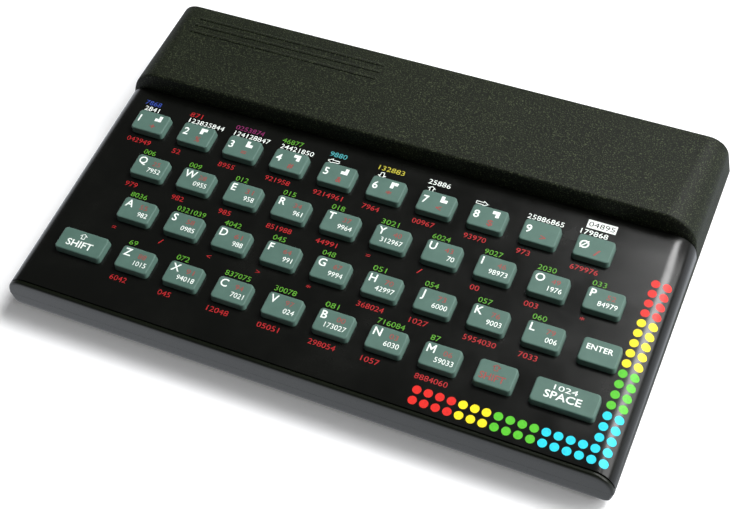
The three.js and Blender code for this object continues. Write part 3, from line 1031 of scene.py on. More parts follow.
INKS = {
    Print.WHITE: Ink("ink_white", linear(234, 241, 236), linear(200, 210, 204)),
    Print.RED: Ink("ink_red", linear(168, 28, 32), linear(130, 24, 28)),
    Print.GREEN: Ink("ink_green", linear(84, 150, 42), linear(64, 118, 36)),
    Print.DULL_RED: Ink("ink_dull_red", linear(146, 66, 62), linear(122, 84, 78)),
    Print.BLUE: Ink("ink_blue", linear(46, 68, 152), linear(36, 52, 116)),
    Print.MAGENTA: Ink("ink_magenta", linear(122, 34, 88), linear(92, 28, 66)),
    Print.CYAN: Ink("ink_cyan", linear(72, 160, 166), linear(58, 126, 132)),
    Print.YELLOW: Ink("ink_yellow", linear(180, 172, 54), linear(144, 138, 48)),
    Print.BLACK: Ink("ink_black", linear(14, 14, 14), linear(20, 20, 20)),
    Print.DOT_RED: Ink("dot_red", linear(210, 30, 20), linear(164, 24, 18)),
    Print.DOT_YELLOW: Ink("dot_yellow", linear(238, 214, 12), linear(192, 172, 16)),
    Print.DOT_GREEN: Ink("dot_green", linear(78, 182, 30), linear(58, 146, 26)),
    Print.DOT_CYAN: Ink("dot_cyan", linear(14, 198, 222), linear(14, 152, 170)),
}


def dress(piece: bpy.types.Object, *finishes: Finish) -> None:
    """Gives a piece its finishes.

    Args:
        piece: The piece.
        finishes: The finishes, in the order of its faces' marks.
    """
    slots = piece.data.materials
    for number, finish in enumerate(finishes):
        if number < len(slots):
            slots[number] = finish.material()
        else:
            slots.append(finish.material())


def settle(piece: bpy.types.Object, body: str, slot: str | None, *nodes: str) -> None:
    """Attaches a finished piece to the body it rides on and hides the CAD nodes it stands for.

    Args:
        piece: The finished piece.
        body: CAD body that it moves with.
        slot: Not used.
        nodes: CAD nodes that it replaces.
    """
    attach(piece, body)
    if nodes:
        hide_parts(*nodes)
    log.info("%s: %d faces, rides on %s", piece.name, len(piece.data.polygons), body)


@dataclass
class Case:
    """The two halves of the case.

    A round opening in the rear wall is its x and its radius, a square one its left, right, low and
    high side. Post, bore and seat are profiles, as radius and height, that are turned about the
    upright line of a screw or a foot.
    """

    form: CaseForm
    soft_edge: float = 1.0
    rear_edge: float = 0.6
    crest_edge: float = 1.3
    lip_edge: float = 0.25
    bed: float = 1.0
    inner_shoulder: float = 1.5
    base_thinning: float = 1.1
    round_openings: Outline = ((-88.825, 4.8), (-47.925, 4.6), (-33.925, 4.6))
    round_height: float = 13.6
    square_openings: Outline = ((-17.92, 56.08, 4.0, 16.8), (82.725, 93.325, 8.2, 19.4))
    square_corner: float = 0.4
    opening_reach: float = 2.0
    post: Outline = ((0, 2.6), (4.7, 2.6), (4.7, 6.3), (0, 6.3))
    bore: Outline = ((0, -1), (3.1, -1), (3.1, 4.2), (1.8, 4.2), (1.8, 8), (0, 8))
    seat: Outline = ((0, -1), (6.3, -1), (6.3, 2.1), (0, 2.1))

    def columns(self, y: Array, top: Array, shoulder: Array) -> tuple[Columns, Array, Array]:
        """Columns of the upper half, doubled at the plate's and the pocket's edges.

        Args:
            y: Place of each row.
            top: Height of its level line.
            shoulder: Radius of its shoulder.

        Returns:
            The columns, and which of them lie in the plate's bed and in the pocket.
        """
        form = self.form
        inside = np.linspace(0, form.pocket_half_width, 7)
        level = np.append(inside, form.pocket_half_width)
        angle = np.linspace(math.pi / 2, form.side_lean, 19)
        ledge = form.ledge(y, top, shoulder, form.plate_rise)[:, None]
        above = ledge + (1 - ledge) * WALL_SHARES
        below = ledge * LEDGE_SHARES
        columns = Columns(level, angle, np.concatenate([above, below], axis=1))
        number = np.arange(columns.count)
        in_bed = number < len(level) + len(angle) + above.shape[1]
        return columns, in_bed, number < len(inside)

    def step_profile(self) -> tuple[Array, Array]:
        """Y and z of the step's face and of its rounded top edge.

        The face is a straight line that leans back. The edge is an arc that touches that line and
        the hump's top, about a centre one radius from both.

        Returns:
            The y and the z of the profile's points, from the foot up.
        """
        form = self.form
        foot = np.array([form.step_foot, float(form.deck_top(form.step_foot))])
        crest = np.array([form.crest, form.crest_height])
        up = (crest - foot) / np.linalg.norm(crest - foot)
        fall = np.array([form.rear - form.crest, form.rear_height - form.crest_height])
        along = fall / np.linalg.norm(fall)
        turn = math.acos(float(up @ along))
        tangent = self.crest_edge * math.tan(turn / 2)
        start = crest - up * tangent
        centre = start + self.crest_edge * np.array([up[1], -up[0]])
        first = math.atan2(start[1] - centre[1], start[0] - centre[0])
        angle = first - np.linspace(0, turn, 8)
        arc = centre + self.crest_edge * np.stack([np.cos(angle), np.sin(angle)], axis=-1)
        face = foot + np.linspace(0, 1, 6)[:-1, None] * (start - foot)
        profile = np.concatenate([face, arc])
        return profile[:, 0], profile[:, 1]

    def rows(self) -> Rows:
        """Rows of the upper half's outer skin.

        Returns:
            The rows, from the front face to the rear one.
        """
        form = self.form
        rows = Rows()
        along, inset = quarter(self.soft_edge, 6)
        y = form.front + along
        rows.add(y, form.deck_top(y), form.deck_shoulder, edge=inset)
        lip = form.deck_y(form.lip)
        small, sunk = quarter(self.lip_edge, 4)
        y = lip - small[::-1]
        rows.add(y, form.deck_top(y), form.deck_shoulder, recess=self.lip_edge - sunk)
        rows.add(lip, form.deck_top(lip), form.deck_shoulder, recess=self.bed)
        front, rear = form.deck_y(form.pocket_front), form.deck_y(form.pocket_rear)
        for place, deep in ((front, 0), (front, form.pocket), (rear, form.pocket), (rear, 0)):
            rows.add(place, form.deck_top(place), form.deck_shoulder, recess=self.bed, pocket=deep)
        foot = form.step_foot
        rows.add(foot, form.deck_top(foot), form.deck_shoulder, recess=self.bed)
        y, z = self.step_profile()
        rise = (z - z[0]) / (form.crest_height - z[0])
        shoulder = form.deck_shoulder + rise * (form.crest_shoulder - form.deck_shoulder)
        rows.add(y, z, np.minimum(shoulder, form.crest_shoulder))
        y = np.linspace(y[-1], form.rear - self.rear_edge, 9)[1:]
        rows.add(y, form.hump_top(y), self.hump_shoulder(y))
        along, inset = quarter(self.rear_edge, 5)
        y = (form.rear - along)[::-1]
        rows.add(y, form.hump_top(y), self.hump_shoulder(y), edge=inset[::-1])
        return rows

    def hump_shoulder(self, y: Array) -> Array:
        """Radius of the hump's shoulder, falling evenly from the crest to the rear.

        Args:
            y: Place of each row.

        Returns:
            The radius for each row.
        """
        form = self.form
        share = np.clip((y - form.crest) / (form.rear - form.crest), 0, 1)
        return form.crest_shoulder + share * (form.rear_shoulder - form.crest_shoulder)

    def upper_skins(self) -> tuple[Array, Array]:
        """The skins of the upper half.

        The inner skin lies in by the wall. Under the deck it hangs lower, by the tray, and over the
        step's lean it goes over to the underside of the hump.

        Returns:
            The outer and the inner skin, in equal rows and columns.
        """
        form = self.form
        y, top, shoulder, edge, recess, pocket = self.rows().values()
        columns, in_bed, in_pocket = self.columns(y, top, shoulder)
        sink = edge[:, None] + recess[:, None] * in_bed
        deep = (pocket[:, None] > 0) & in_pocket
        sink = np.where(deep, pocket[:, None], sink)
        lean, width = form.side_lean, form.half_width
        outer = section_skin(y, width, form.seam(y), top, shoulder, lean, columns, sink)
        inner_y = np.clip(y, form.front + form.wall, form.rear - form.wall)
        beyond = inner_y > form.step_foot
        share = np.clip((y - form.step_foot) / form.step_lean, 0, 1)
        stepped = form.step_foot + share * (form.step_lean + form.wall)
        inner_y = np.where(beyond, np.maximum(inner_y, stepped), inner_y)
        under_deck = form.deck_top(inner_y) - form.tray / math.cos(form.deck_tilt)
        under_hump = form.hump_top(np.maximum(inner_y, form.crest + form.wall)) - form.wall
        mix = np.where(beyond, share, 0)
        inner_top = under_deck + (under_hump - under_deck) * mix
        small = self.inner_shoulder
        shoulder = small + (self.hump_shoulder(inner_y) - form.wall - small) * mix
        even = np.linspace(1, 0, columns.share.shape[1] + 1)[1:]
        columns = Columns(columns.level, columns.angle, even)
        still = np.zeros((len(y), columns.count))
        seam, width = form.seam(inner_y), form.half_width - form.wall
        inner = section_skin(inner_y, width, seam, inner_top, shoulder, lean, columns, still)
        return outer, inner

    def lower_skins(self) -> tuple[Array, Array]:
        """The skins of the lower half.

        Returns:
            The outer and the inner skin, in equal rows and columns.
        """
        form = self.form
        level = np.linspace(0, form.pocket_half_width, 5)
        angle = np.linspace(math.pi / 2, form.base_lean, 8)
        columns = Columns(level, angle, WALL_SHARES)
        along, inset = quarter(self.soft_edge, 6)
        middle = np.linspace(form.front + self.soft_edge, form.rear - self.soft_edge, 7)[1:-1]
        y = np.concatenate([form.front + along, middle, (form.rear - along)[::-1]])
        sink = np.concatenate([inset, 0 * middle, inset[::-1]])[:, None] + np.zeros(columns.count)
        inner_y = np.clip(y, form.front + form.wall, form.rear - form.wall)
        outer, inner = (
            section_skin(
                places,
                form.half_width - wall,
                form.seam(places) - form.seam_line,
                form.base + wall,
                form.base_shoulder - thinning,
                form.base_lean,
                columns,
                depth,
            )
            for places, wall, thinning, depth in (
                (y, 0, 0, sink),
                (inner_y, form.wall, self.base_thinning, 0 * sink),
            )
        )
        return outer, inner

    def shell(self, skins: tuple[Array, Array], drop: float, name: str) -> bpy.types.Object:
        """One half of the case, with upright end faces that reach the seam.

        Args:
            skins: Its outer and its inner skin.
            drop: Distance that its rim lies below the seam.
            name: Name of the piece.

        Returns:
            The half, as a closed solid.
        """
        walls = []
        for skin in skins:
            front, rear = (
                face_rows(edge, float(self.form.seam(edge[0, 1])) - drop)
                for edge in (skin[0], skin[-1])
            )
            walls.append(np.concatenate([front, skin, rear[::-1]]))
        return closed_wall(*walls).piece(name)

    def finish_shell(self, piece: bpy.types.Object, node: str) -> None:
        """Opens the rear wall of one half and gives the half its looks.

        Args:
            piece: The half.
            node: CAD node that it replaces.
        """
        work_in(piece, self.windows(), Joining.CUT)
        mark_front(piece, self.form.front + self.soft_edge)
        dress(piece, CASE_PLASTIC, FRONT_PLASTIC)
        settle(piece, "case", "case_plastic", node)

    def windows(self) -> bpy.types.Object:
        """The solids that leave the openings in the rear wall.

        Returns:
            All of them, as one piece.
        """
        form = self.form
        turn = np.linspace(0, 2 * np.pi, 48, endpoint=False)
        rings = []
        for x, radius in self.round_openings:
            rings.append([x + radius * np.cos(turn), self.round_height + radius * np.sin(turn)])
        for left, right, low, high in self.square_openings:
            middle = np.array([(left + right) / 2, (low + high) / 2])
            ring = rounded_ring(right - left, high - low, self.square_corner, 3) + middle
            rings.append([ring[:, 0], ring[:, 1]])
        ends = form.rear - form.wall - self.opening_reach, form.rear + self.opening_reach
        tools = Surface()
        for x, z in rings:
            flat = np.stack([x, 0 * x, z], axis=-1)
            tools.tube(np.stack([flat + [0, y, 0] for y in ends]))
        return tools.piece("window_tools")

    def build_upper(self) -> None:
        """The upper half, with its front and rear faces and the openings in its rear wall."""
        piece = self.shell(self.upper_skins(), 0, "upper_shell")
        self.finish_shell(piece, "upper_case")

    def build_lower(self) -> None:
        """The lower half, with its posts, the bores for the screws and the seats of the feet."""
        piece = self.shell(self.lower_skins(), self.form.seam_line, "lower_shell")
        posts = Surface()
        bores = Surface()
        for place in Fastenings.screws:
            posts.lathe(np.array(self.post), np.array(place))
            bores.lathe(np.array(self.bore), np.array(place))
        for place in Fastenings.feet:
            bores.lathe(np.array(self.seat), np.array(place))
        work_in(piece, posts.piece("post_tools"), Joining.ADD)
        work_in(piece, bores.piece("bore_tools"), Joining.CUT)
        self.finish_shell(piece, "lower_case")


@dataclass
class HumpRibs:
    """Plain raised ribs moulded on the hump, towards its left rear corner.

    Steps gives each ring of a rib, from its foot up, as its inset and its height above the hump.
    """

    form: CaseForm
    left: float = -104.0
    right: float = -21.0
    front: float = 57.2
    spacing: float = 4.0
    count: int = 3
    width: float = 1.4
    steps: Outline = ((0, -0.2), (0, 0.08), (0.06, 0.22), (0.2, 0.31), (0.36, 0.34))
    end_gap: float = 0.01

    def build(self) -> None:
        """The ribs, each a long rounded bar whose foot is sunk into the hump."""
        ribs = Surface()
        middle = (self.left + self.right) / 2
        for number in range(self.count):
            y = self.front + number * self.spacing
            rings = []
            for inset, height in self.steps:
                long, width = self.right - self.left - 2 * inset, self.width - 2 * inset
                ring = rounded_ring(long, width, width / 2 - self.end_gap, 5) + [middle, y]
                rings.append(np.column_stack([ring, self.form.hump_top(ring[:, 1]) + height]))
            ribs.tube(np.stack(rings))
        piece = ribs.piece("hump_ribs", crease=40)
        dress(piece, CASE_PLASTIC)
        settle(piece, "case", "case_plastic")


@dataclass(frozen=True)
class Fastenings:
    """The screws and the feet, all turned about an upright line.

    Dish, head and tip are profiles as radius and height, and a thread's turn is one that repeats at
    each pitch. Each end of the cross recess is a height and a scale of the cross's arms.
    """

    screws: Outline = (
        (-100.425, -63.9865),
        (100.425, -63.9865),
        (0.0, -20.9865),
        (-103.425, 33.9865),
        (103.425, 33.9865),
    )
    feet: Outline = (
        (-95.425, -53.9865),
        (-95.425, 53.9865),
        (95.425, -53.9865),
        (95.425, 53.9865),
    )
    foot_radius: float = 6
    foot_edge: float = 0.8
    foot_top: float = 1.8
    dish: Outline = ((0, 0.25), (2.6, 0.22), (3.2, 0.0))
    head: Outline = (
        (0, 2.0), (1.7, 2.02), (2.3, 2.2), (2.65, 2.6), (2.8, 3.1), (2.8, 3.9), (1.18, 3.9),
    )
    thread_start: float = 4.3
    thread_stop: float = 11.2
    thread_pitch: float = 0.8
    thread_turn: Outline = ((1.18, 0.0), (1.5, 0.3), (1.18, 0.6))
    tip: Outline = ((1.18, 11.3), (0, 12.3))
    cross_arm: tuple[float, float] = (1.75, 0.4)
    cross_ends: Outline = ((0.5, 1.15), (3.2, 0.7))

    def build_feet(self) -> None:
        """Round rubber feet with a soft lower edge and a shallow dish."""
        along, inset = quarter(self.foot_edge, 5)
        edge = np.stack([self.foot_radius - inset, along], axis=-1)
        top = [[self.foot_radius, self.foot_top], [0, self.foot_top]]
        profile = np.concatenate([self.dish, edge, top])
        for number, place in enumerate(self.feet, start=1):
            foot = Surface()
            foot.lathe(profile, np.array(place), sides=56)
            piece = foot.piece(f"foot_{number}")
            dress(piece, FOOT_RUBBER)
            settle(piece, "case", "foot_rubber", f"rubber_foot_{number}")

    def build_screws(self) -> None:
        """Pan-head screws, point up, each with a cross recess and a turned thread."""
        turns = np.arange(self.thread_start, self.thread_stop, self.thread_pitch)
        thread = (np.array(self.thread_turn) + turns[:, None, None] * [0, 1]).reshape(-1, 2)
        profile = np.concatenate([self.head, thread, self.tip])
        for number, place in enumerate(self.screws, start=1):
            screw = Surface()
            screw.lathe(profile, np.array(place), sides=40)
            piece = screw.piece(f"screw_{number}", crease=25)
            work_in(piece, self.cross(place), Joining.CUT, crease=25)
            dress(piece, SCREW_STEEL)
            settle(piece, "case", "screw_steel", f"case_screw_{number}")

    def cross(self, place: tuple[float, ...]) -> bpy.types.Object:
        """The solid that leaves a cross recess in a screw's head, narrower at its bottom.

        The outline is three corners of one arm, turned four times by a quarter turn.

        Args:
            place: X and y of the screw.

        Returns:
            The solid.
        """
        turn = np.array([[0, 1], [-1, 0]])
        rings = []
        for height, scale in self.cross_ends:
            long, short = (size * scale for size in self.cross_arm)
            arm = np.array([[long, -short], [long, short], [short, short]])
            arms = [arm @ np.linalg.matrix_power(turn, quarters) for quarters in range(4)]
            outline = np.concatenate(arms) + place
            rings.append(np.column_stack([outline, np.full(len(outline), height)]))
        tools = Surface()
        tools.tube(np.stack(rings))
        return tools.piece("cross_tool")


@dataclass(frozen=True)
class KeySpot:
    """One key's name, place on the deck and width at its top."""

    name: str
    row: int
    column: int
    x: float
    s: float
    width: float


@dataclass
class Keyboard:
    """The face plate and the forty keys, without what is printed on them.

    Bevel, fillet, ease and crown are small changes in width, and in height or corner, where one
    surface of a key goes over into the next.
    """

    form: CaseForm
    pitch: float = 20.1
    row_pitch: float = 19.9
    shift: float = -7.2
    middle_column: float = 4.5
    front_row: float = 22.8
    width: float = 13.6
    depth: float = 9.5
    draft: float = 0.2
    height: float = 2.6
    corner: float = 1.3
    edge: float = 0.5
    flange: float = 0.9
    flange_top: float = -1.0
    flange_bottom: float = -1.9
    bevel: tuple[float, float] = (0.3, 0.15)
    fillet: tuple[float, float] = (0.3, 0.2)
    ease: tuple[float, float] = (0.02, 0.05)
    crown: tuple[float, float] = (0.3, 0.15)
    hole_gap: float = 0.42
    hole_ends: tuple[float, float] = (-3, 2)
    plate_edge: float = 0.2

    ROWS = (
        ("1", "2", "3", "4", "5", "6", "7", "8", "9", "0"),
        ("q", "w", "e", "r", "t", "y", "u", "i", "o", "p"),
        ("a", "s", "d", "f", "g", "h", "j", "k", "l", "enter"),
        ("caps_shift", "z", "x", "c", "v", "b", "n", "m", "symbol_shift", "space"),
    )
    OFFSETS = (0.0, 0.5, 0.75, 0.25)
    WIDE = {"caps_shift": 19.0, "space": 22.6}

    def spots(self) -> list[KeySpot]:
        """Every key's place; the two wide keys grow away from the middle.

        Returns:
            The forty places, row by row from the rear.
        """
        found = []
        for row, names in enumerate(self.ROWS):
            for column, name in enumerate(names):
                x = (column + self.OFFSETS[row] - self.middle_column) * self.pitch + self.shift
                width = self.WIDE.get(name, self.width)
                growth = (width - self.width) / 2
                x += -growth if name == "caps_shift" else growth
                s = self.front_row + (len(self.ROWS) - 1 - row) * self.row_pitch
                found.append(KeySpot(name, row, column, x, s, width))
        return found

    def build_plate(self) -> None:
        """The thin metal plate over the deck, with a hole for each key.

        Its outer skin is the case's own skin between the lip and the step, and its inner skin lies
        in by the plate's thickness. Its front and rear edges are slightly rounded.
        """
        form = self.form
        level = np.linspace(0, form.pocket_half_width, 7)
        along, inset = quarter(self.plate_edge, 4)
        start, stop = form.deck_y(form.lip + form.gap), form.deck_y(form.step_distance - form.gap)
        middle = np.linspace(start, stop, 8)[1:-1]
        y = np.concatenate([start + along, middle, (stop - along)[::-1]])
        edge = np.concatenate([inset, 0 * middle, inset[::-1]])
        top, shoulder, lean = form.deck_top(y), form.deck_shoulder, form.side_lean
        foot = form.ledge(y, top, shoulder, form.plate_rise + form.gap)[:, None]
        share = foot + (1 - foot) * WALL_SHARES
        columns = Columns(level, np.linspace(math.pi / 2, lean, 17), share)
        width, seam = form.half_width, form.seam(y)
        skins = []
        for depth in (edge, 0 * edge + form.plate):
            sink = depth[:, None] + np.zeros(columns.count)
            skins.append(section_skin(y, width, seam, top, shoulder, lean, columns, sink))
        piece = closed_wall(*skins).piece("deck_plate")
        holes = Surface()
        growth, corner = 2 * self.hole_gap, self.corner + self.hole_gap
        for spot in self.spots():
            ring = rounded_ring(spot.width + growth, self.depth + growth, corner)
            holes.tube(form.on_deck(prism(ring + [spot.x, spot.s], *self.hole_ends)))
        work_in(piece, holes.piece("hole_tools"), Joining.CUT)
        dress(piece, PLATE_ENAMEL)
        settle(piece, "case", "plate_metal", "face_plate")

    def key_rings(self, spot: KeySpot) -> Array:
        """Rings of one key from its flange up to its top.

        Every ring is a rounded rectangle. The sides draw in evenly from the flange to the top edge,
        which is rounded over a quarter turn.

        Args:
            spot: The key's place and width.

        Returns:
            Places on the deck as rings by points by 3.
        """
        top = np.array([spot.width, self.depth])
        base = top + 2 * self.draft
        wide = base + 2 * self.flange
        start = self.height - self.edge
        rings = [
            (wide - self.bevel[0], self.corner, self.flange_bottom),
            (wide, self.corner, self.flange_bottom + self.bevel[1]),
            (wide, self.corner, self.flange_top),
            (base + self.fillet[0], self.corner, self.flange_top),
            (base, self.corner, self.flange_top + self.fillet[1]),
            (top + self.ease[0], self.corner, start - self.ease[1]),
        ]
        for angle in np.linspace(0, math.pi / 2, 7):
            inset = 2 * self.edge * (1 - math.cos(angle))
            rings.append((top - inset, self.corner, start + self.edge * math.sin(angle)))
        inset = 2 * self.edge + self.crown[0]
        rings.append((top - inset, self.corner - self.crown[1], self.height))
        placed = []
        for (width, depth), corner, height in rings:
            plan = rounded_ring(width, depth, corner) + [spot.x, spot.s]
            placed.append(np.column_stack([plan, np.full(len(plan), height)]))
        return np.stack(placed)

    def build_keys(self) -> None:
        """The forty keys, each riding on its own body."""
        for spot in self.spots():
            key = Surface()
            key.tube(self.form.on_deck(self.key_rings(spot)))
            piece = key.piece(f"rubber_{spot.name}", crease=42)
            dress(piece, KEY_RUBBER)
            settle(piece, f"key_{spot.name}", "key_rubber", f"key_{spot.name}")


class Lettering:
    """Turns words into thin closed shapes with Blender's built-in font.

    The sizes of the drawn letter are in the font's own units; its slant is how many strokes
    high the diagonals are where they meet the legs.
    """

    ROUNDNESS = 3
    LETTER_WIDTH = 0.66
    LETTER_STROKE = 0.085
    LETTER_NOTCH = 0.16
    LETTER_SLANT = 2.1

    def __init__(self) -> None:
        """Starts with no words made."""
        self.made: dict[tuple[str, float], tuple[Array, list[list[int]]]] = {}

    def shape(self, words: str, weight: float) -> tuple[Array, list[list[int]]]:
        """The outline of words as a mesh that is 1 thick, with capitals 1 high.

        Args:
            words: What is written.
            weight: How far the strokes are thickened, as a share of the font's size.

        Returns:
            The places and the faces.
        """
        if words == "M" and weight:
            return self.bold_m(weight)
        if (words, weight) not in self.made:
            curve = bpy.data.curves.new("words", "FONT")
            curve.body = words
            curve.size = 1
            curve.offset = weight
            curve.extrude = 0.5
            curve.resolution_u = self.ROUNDNESS
            holder = bpy.data.objects.new("words", curve)
            mesh = bpy.data.meshes.new_from_object(holder)
            points = np.empty(len(mesh.vertices) * 3)
            mesh.vertices.foreach_get("co", points)
            points = points.reshape(-1, 3)
            faces = [list(face.vertices) for face in mesh.polygons]
            bpy.data.objects.remove(holder)
            bpy.data.curves.remove(curve)
            bpy.data.meshes.remove(mesh)
            self.made[(words, weight)] = points, faces
        return self.made[(words, weight)]

    def bold_m(self, weight: float) -> tuple[Array, list[list[int]]]:
        """A thick letter M, drawn from given sizes because the font's own fills in when it is
        thickened.

        Its outline goes up the left leg, down into the notch and back along the top.

        Args:
            weight: How far the strokes are thickened, as a share of the font's size.

        Returns:
            The places and the faces.
        """
        high, wide, leg = self.capital(weight), self.LETTER_WIDTH, self.LETTER_STROKE + 2 * weight
        middle, notch, slant = wide / 2, self.LETTER_NOTCH, self.LETTER_SLANT * leg
        right = np.array([[middle, notch], [wide - leg, high - slant], [wide - leg, 0], [wide, 0]])
        upper = np.array([[wide, high], [wide - leg, high], [middle, notch + slant]])
        left = np.array([[0, 0], [leg, 0], [leg, high - slant]])
        outline = np.concatenate([left, right, upper, [[leg, high], [0, high]]])
        letter = Surface()
        letter.tube(prism(outline, -0.5, 0.5))
        return np.concatenate(letter.points), letter.faces

    def capital(self, weight: float) -> float:
        """Height of a capital letter in the font's own units."""
        points, _ = self.shape("H", weight)
        return float(points[:, 1].max() - points[:, 1].min())


@dataclass(frozen=True)
class Word:
    """A printed word: what it says, its place on the deck, its size and its ink.

    Left and right bound it along x; where one of them is None the word keeps its own width.
    """

    says: str
    left: float | None
    right: float | None
    baseline: float
    capital: float
    ink: Print
    weight: float = 0.0


@dataclass(frozen=True)
class Patch:
    """A printed patch: a closed outline on the deck, and its ink."""

    outline: Array
    ink: Print


@dataclass(frozen=True)
class Line:
    """A line of numbers along a row of keys.

    It starts at left from a key's middle, and further right by lean with every column. Digit is the
    width of one character.
    """

    left: float
    lean: float
    digit: float
    baseline: float
    ink: Print
    capital: float = 2.1

    def word(self, code: str, column: int) -> Word:
        """The code as a word of this line.

        Args:
            code: What is printed.
            column: The key's column.

        Returns:
            The word.
        """
        left = self.left + self.lean * column
        right = left + self.digit * len(code)
        return Word(code, left, right, self.baseline, self.capital, self.ink)


class Series(Enum):
    """Kinds of printed numbers, each with its own run of them."""

    ABOVE = 1
    BELOW = 2
    KEY_LOW = 3
    KEY_HIGH = 4
    TOP = 5
    EDIT = 6


@dataclass
class Legends:
    """What is printed on the keys and around them, all of it plain numbers, letters and signs.

    Places are from a key's middle. The tables of digits say how long the number of each key is.
    """

    form: CaseForm
    keyboard: Keyboard
    lettering: Lettering = field(default_factory=Lettering)
    sunk: float = 0.02
    proud: float = 0.03
    overprint: float = 0.04
    key_shift: tuple[float, float] = (0.09, -0.24)
    plate_shift: tuple[float, float] = (0.75, -1.45)
    quarter_place: tuple[float, float] = (1.0, 1.1)
    quarter_size: float = 1.4
    quarter_gap: float = 0.06
    arrow_place: tuple[float, float] = (-5.5, 8.55)
    shift_arrow_place: tuple[float, float] = (-0.6, 2.75)
    shift_arrow_scale: float = 0.95
    box_place: tuple[float, float] = (-1.25, 12.7)
    box_size: tuple[float, float, float] = (10.9, 3.6, 0.15)
    dot_pitch: float = 4.2
    dot_radius: float = 1.6
    dot_sides: int = 28
    dot_lines: int = 2
    dots_front: float = 5.4
    dots_left: float = 44.6
    dots_right: float = 107.6
    dots_rear: float = 76.8

    BOLD = 0.014
    WORDS = {
        "enter": [Word("ENTER", -5.1, 4.3, 0.5, 2.15, Print.WHITE, BOLD)],
        "space": [
            Word("1024", -4.7, 3.6, 1.7, 1.9, Print.WHITE),
            Word("SPACE", -7.2, 5.8, -1.8, 2.8, Print.WHITE, BOLD),
        ],
        "caps_shift": [Word("SHIFT", -5.95, 4.95, -2.2, 2.85, Print.WHITE, BOLD)],
        "symbol_shift": [Word("SHIFT", -5.4, 3.8, -2.45, 2.6, Print.DULL_RED, BOLD)],
    }
    DIGIT = Word("", -5.6, None, -0.8, 3.3, Print.WHITE, BOLD)
    SIGN = Word("", 0.4, 2.6, -2.8, 2.5, Print.DULL_RED, BOLD)
    LETTER = Word("", -5.6, None, 0.9, 3.2, Print.WHITE, BOLD)
    KEY_LOW = Word("", None, 5.2, -2.2, 2.0, Print.WHITE)
    KEY_HIGH = Word("", 0.5, 3.7, 1.0, 2.0, Print.DULL_RED)
    BOXED = Word("", -6.1, 3.6, 11.65, 2.1, Print.BLACK)
    EDIT = Word("", -8.0, None, 7.9, 2.1, Print.WHITE)
    EDIT_SIZES = {0: (4, 6.4), 1: (9, 15.4), 2: (9, 15.3), 3: (8, 14.0), 8: (8, 13.8), 9: (6, 10.1)}
    TOP = Line(-9.0, 0.19, 1.75, 10.7, Print.WHITE)
    ABOVE = Line(-7.9, 0.08, 1.72, 8.15, Print.GREEN)
    BELOW = Line(-7.6, 0.08, 1.72, -7.8, Print.RED)
    TOP_DIGITS = {"BLUE": 4, "RED": 3, "MAGENTA": 7, "GREEN": 5, "CYAN": 4, "YELLOW": 6, "WHITE": 5}
    ABOVE_DIGITS = (
        (),
        (3, 3, 3, 3, 3, 4, 4, 4, 4, 3),
        (4, 7, 4, 3, 3, 3, 3, 3, 3),
        (0, 2, 3, 6, 5, 3, 6, 2),
    )
    BELOW_DIGITS = (
        (6, 2, 4, 6, 7, 4, 5, 5, 3, 6),
        (3, 3, 3, 6, 5, 1, 1, 2, 3, 1),
        (1, 1, 1, 1, 1, 6, 4, 7, 4),
        (0, 4, 3, 5, 5, 6, 4, 7),
    )
    KEY_DIGITS = (
        (),
        (4, 4, 3, 3, 4, 6, 2, 5, 4, 5),
        (3, 4, 3, 3, 4, 5, 4, 4, 3),
        (0, 4, 5, 4, 3, 6, 4, 5),
    )
    BELOW_SIGNS = "+-=/<>*!"
    KEY_SIGNS = "+%=#&*<$>/"
    OPEN_QUARTERS = ((0, 1), (1, 0), (1, 1), (0, 0), (0, 1), (1, 0), (1, 1), (0, 0))
    ARROW_TURNS = {4: 2, 5: 3, 6: 1, 7: 0}
    DOT_INKS = (Print.DOT_RED, Print.DOT_YELLOW, Print.DOT_GREEN, Print.DOT_CYAN)
    ORDER_STEP = 7919
    SERIES_STEP = 104729
    SPREAD = 37

    def number(self, spot: KeySpot, series: Series, digits: int) -> str:
        """A plain number, the same on every run.

        It is the key's order times a step plus the series times another, cut to its last digits.

        Args:
            spot: The key.
            series: Kind of number.
            digits: How many digits it has.

        Returns:
            The digits.
        """
        order = spot.row * 10 + spot.column + 1
        value = (order * self.ORDER_STEP + series.value * self.SERIES_STEP) * self.SPREAD
        return str(value)[-digits:].rjust(digits, "1")

    def near(
        self, spot: KeySpot, offset: tuple[float, float], shift: tuple[float, float]
    ) -> Array:
        """A place on the deck, at an offset from a key's middle and with its print's shift."""
        return np.array([spot.x, spot.s]) + offset + shift

    def word_mesh(self, surface: Surface, word: Word, place: Array, height: float) -> None:
        """Adds a word to a surface, at a height above the deck.

        Args:
            surface: Mesh that takes it.
            word: What is printed, about the place.
            place: The place on the deck.
            height: Height of the surface that is printed on.
        """
        points, faces = self.lettering.shape(word.says, word.weight)
        scale = word.capital / self.lettering.capital(word.weight)
        low, high = points[:, 0].min(), points[:, 0].max()
        wide = scale
        if word.left is not None and word.right is not None:
            wide = (word.right - word.left) / (high - low)
        if word.left is None:
            x = word.right + place[0] + (points[:, 0] - high) * wide
        else:
            x = word.left + place[0] + (points[:, 0] - low) * wide
        s = word.baseline + place[1] + points[:, 1] * scale
        h = height - self.sunk + (points[:, 2] + 0.5) * (self.sunk + self.proud)
        placed = self.form.on_deck(np.stack([x, s, h], axis=-1))
        surface.add(placed, faces, word.ink.value)

    def patch_mesh(self, surface: Surface, patch: Patch, height: float) -> None:
        """Adds a patch to a surface, at a height above the deck."""
        rings = prism(patch.outline, height - self.sunk, height + self.proud)
        surface.tube(self.form.on_deck(rings), patch.ink.value)

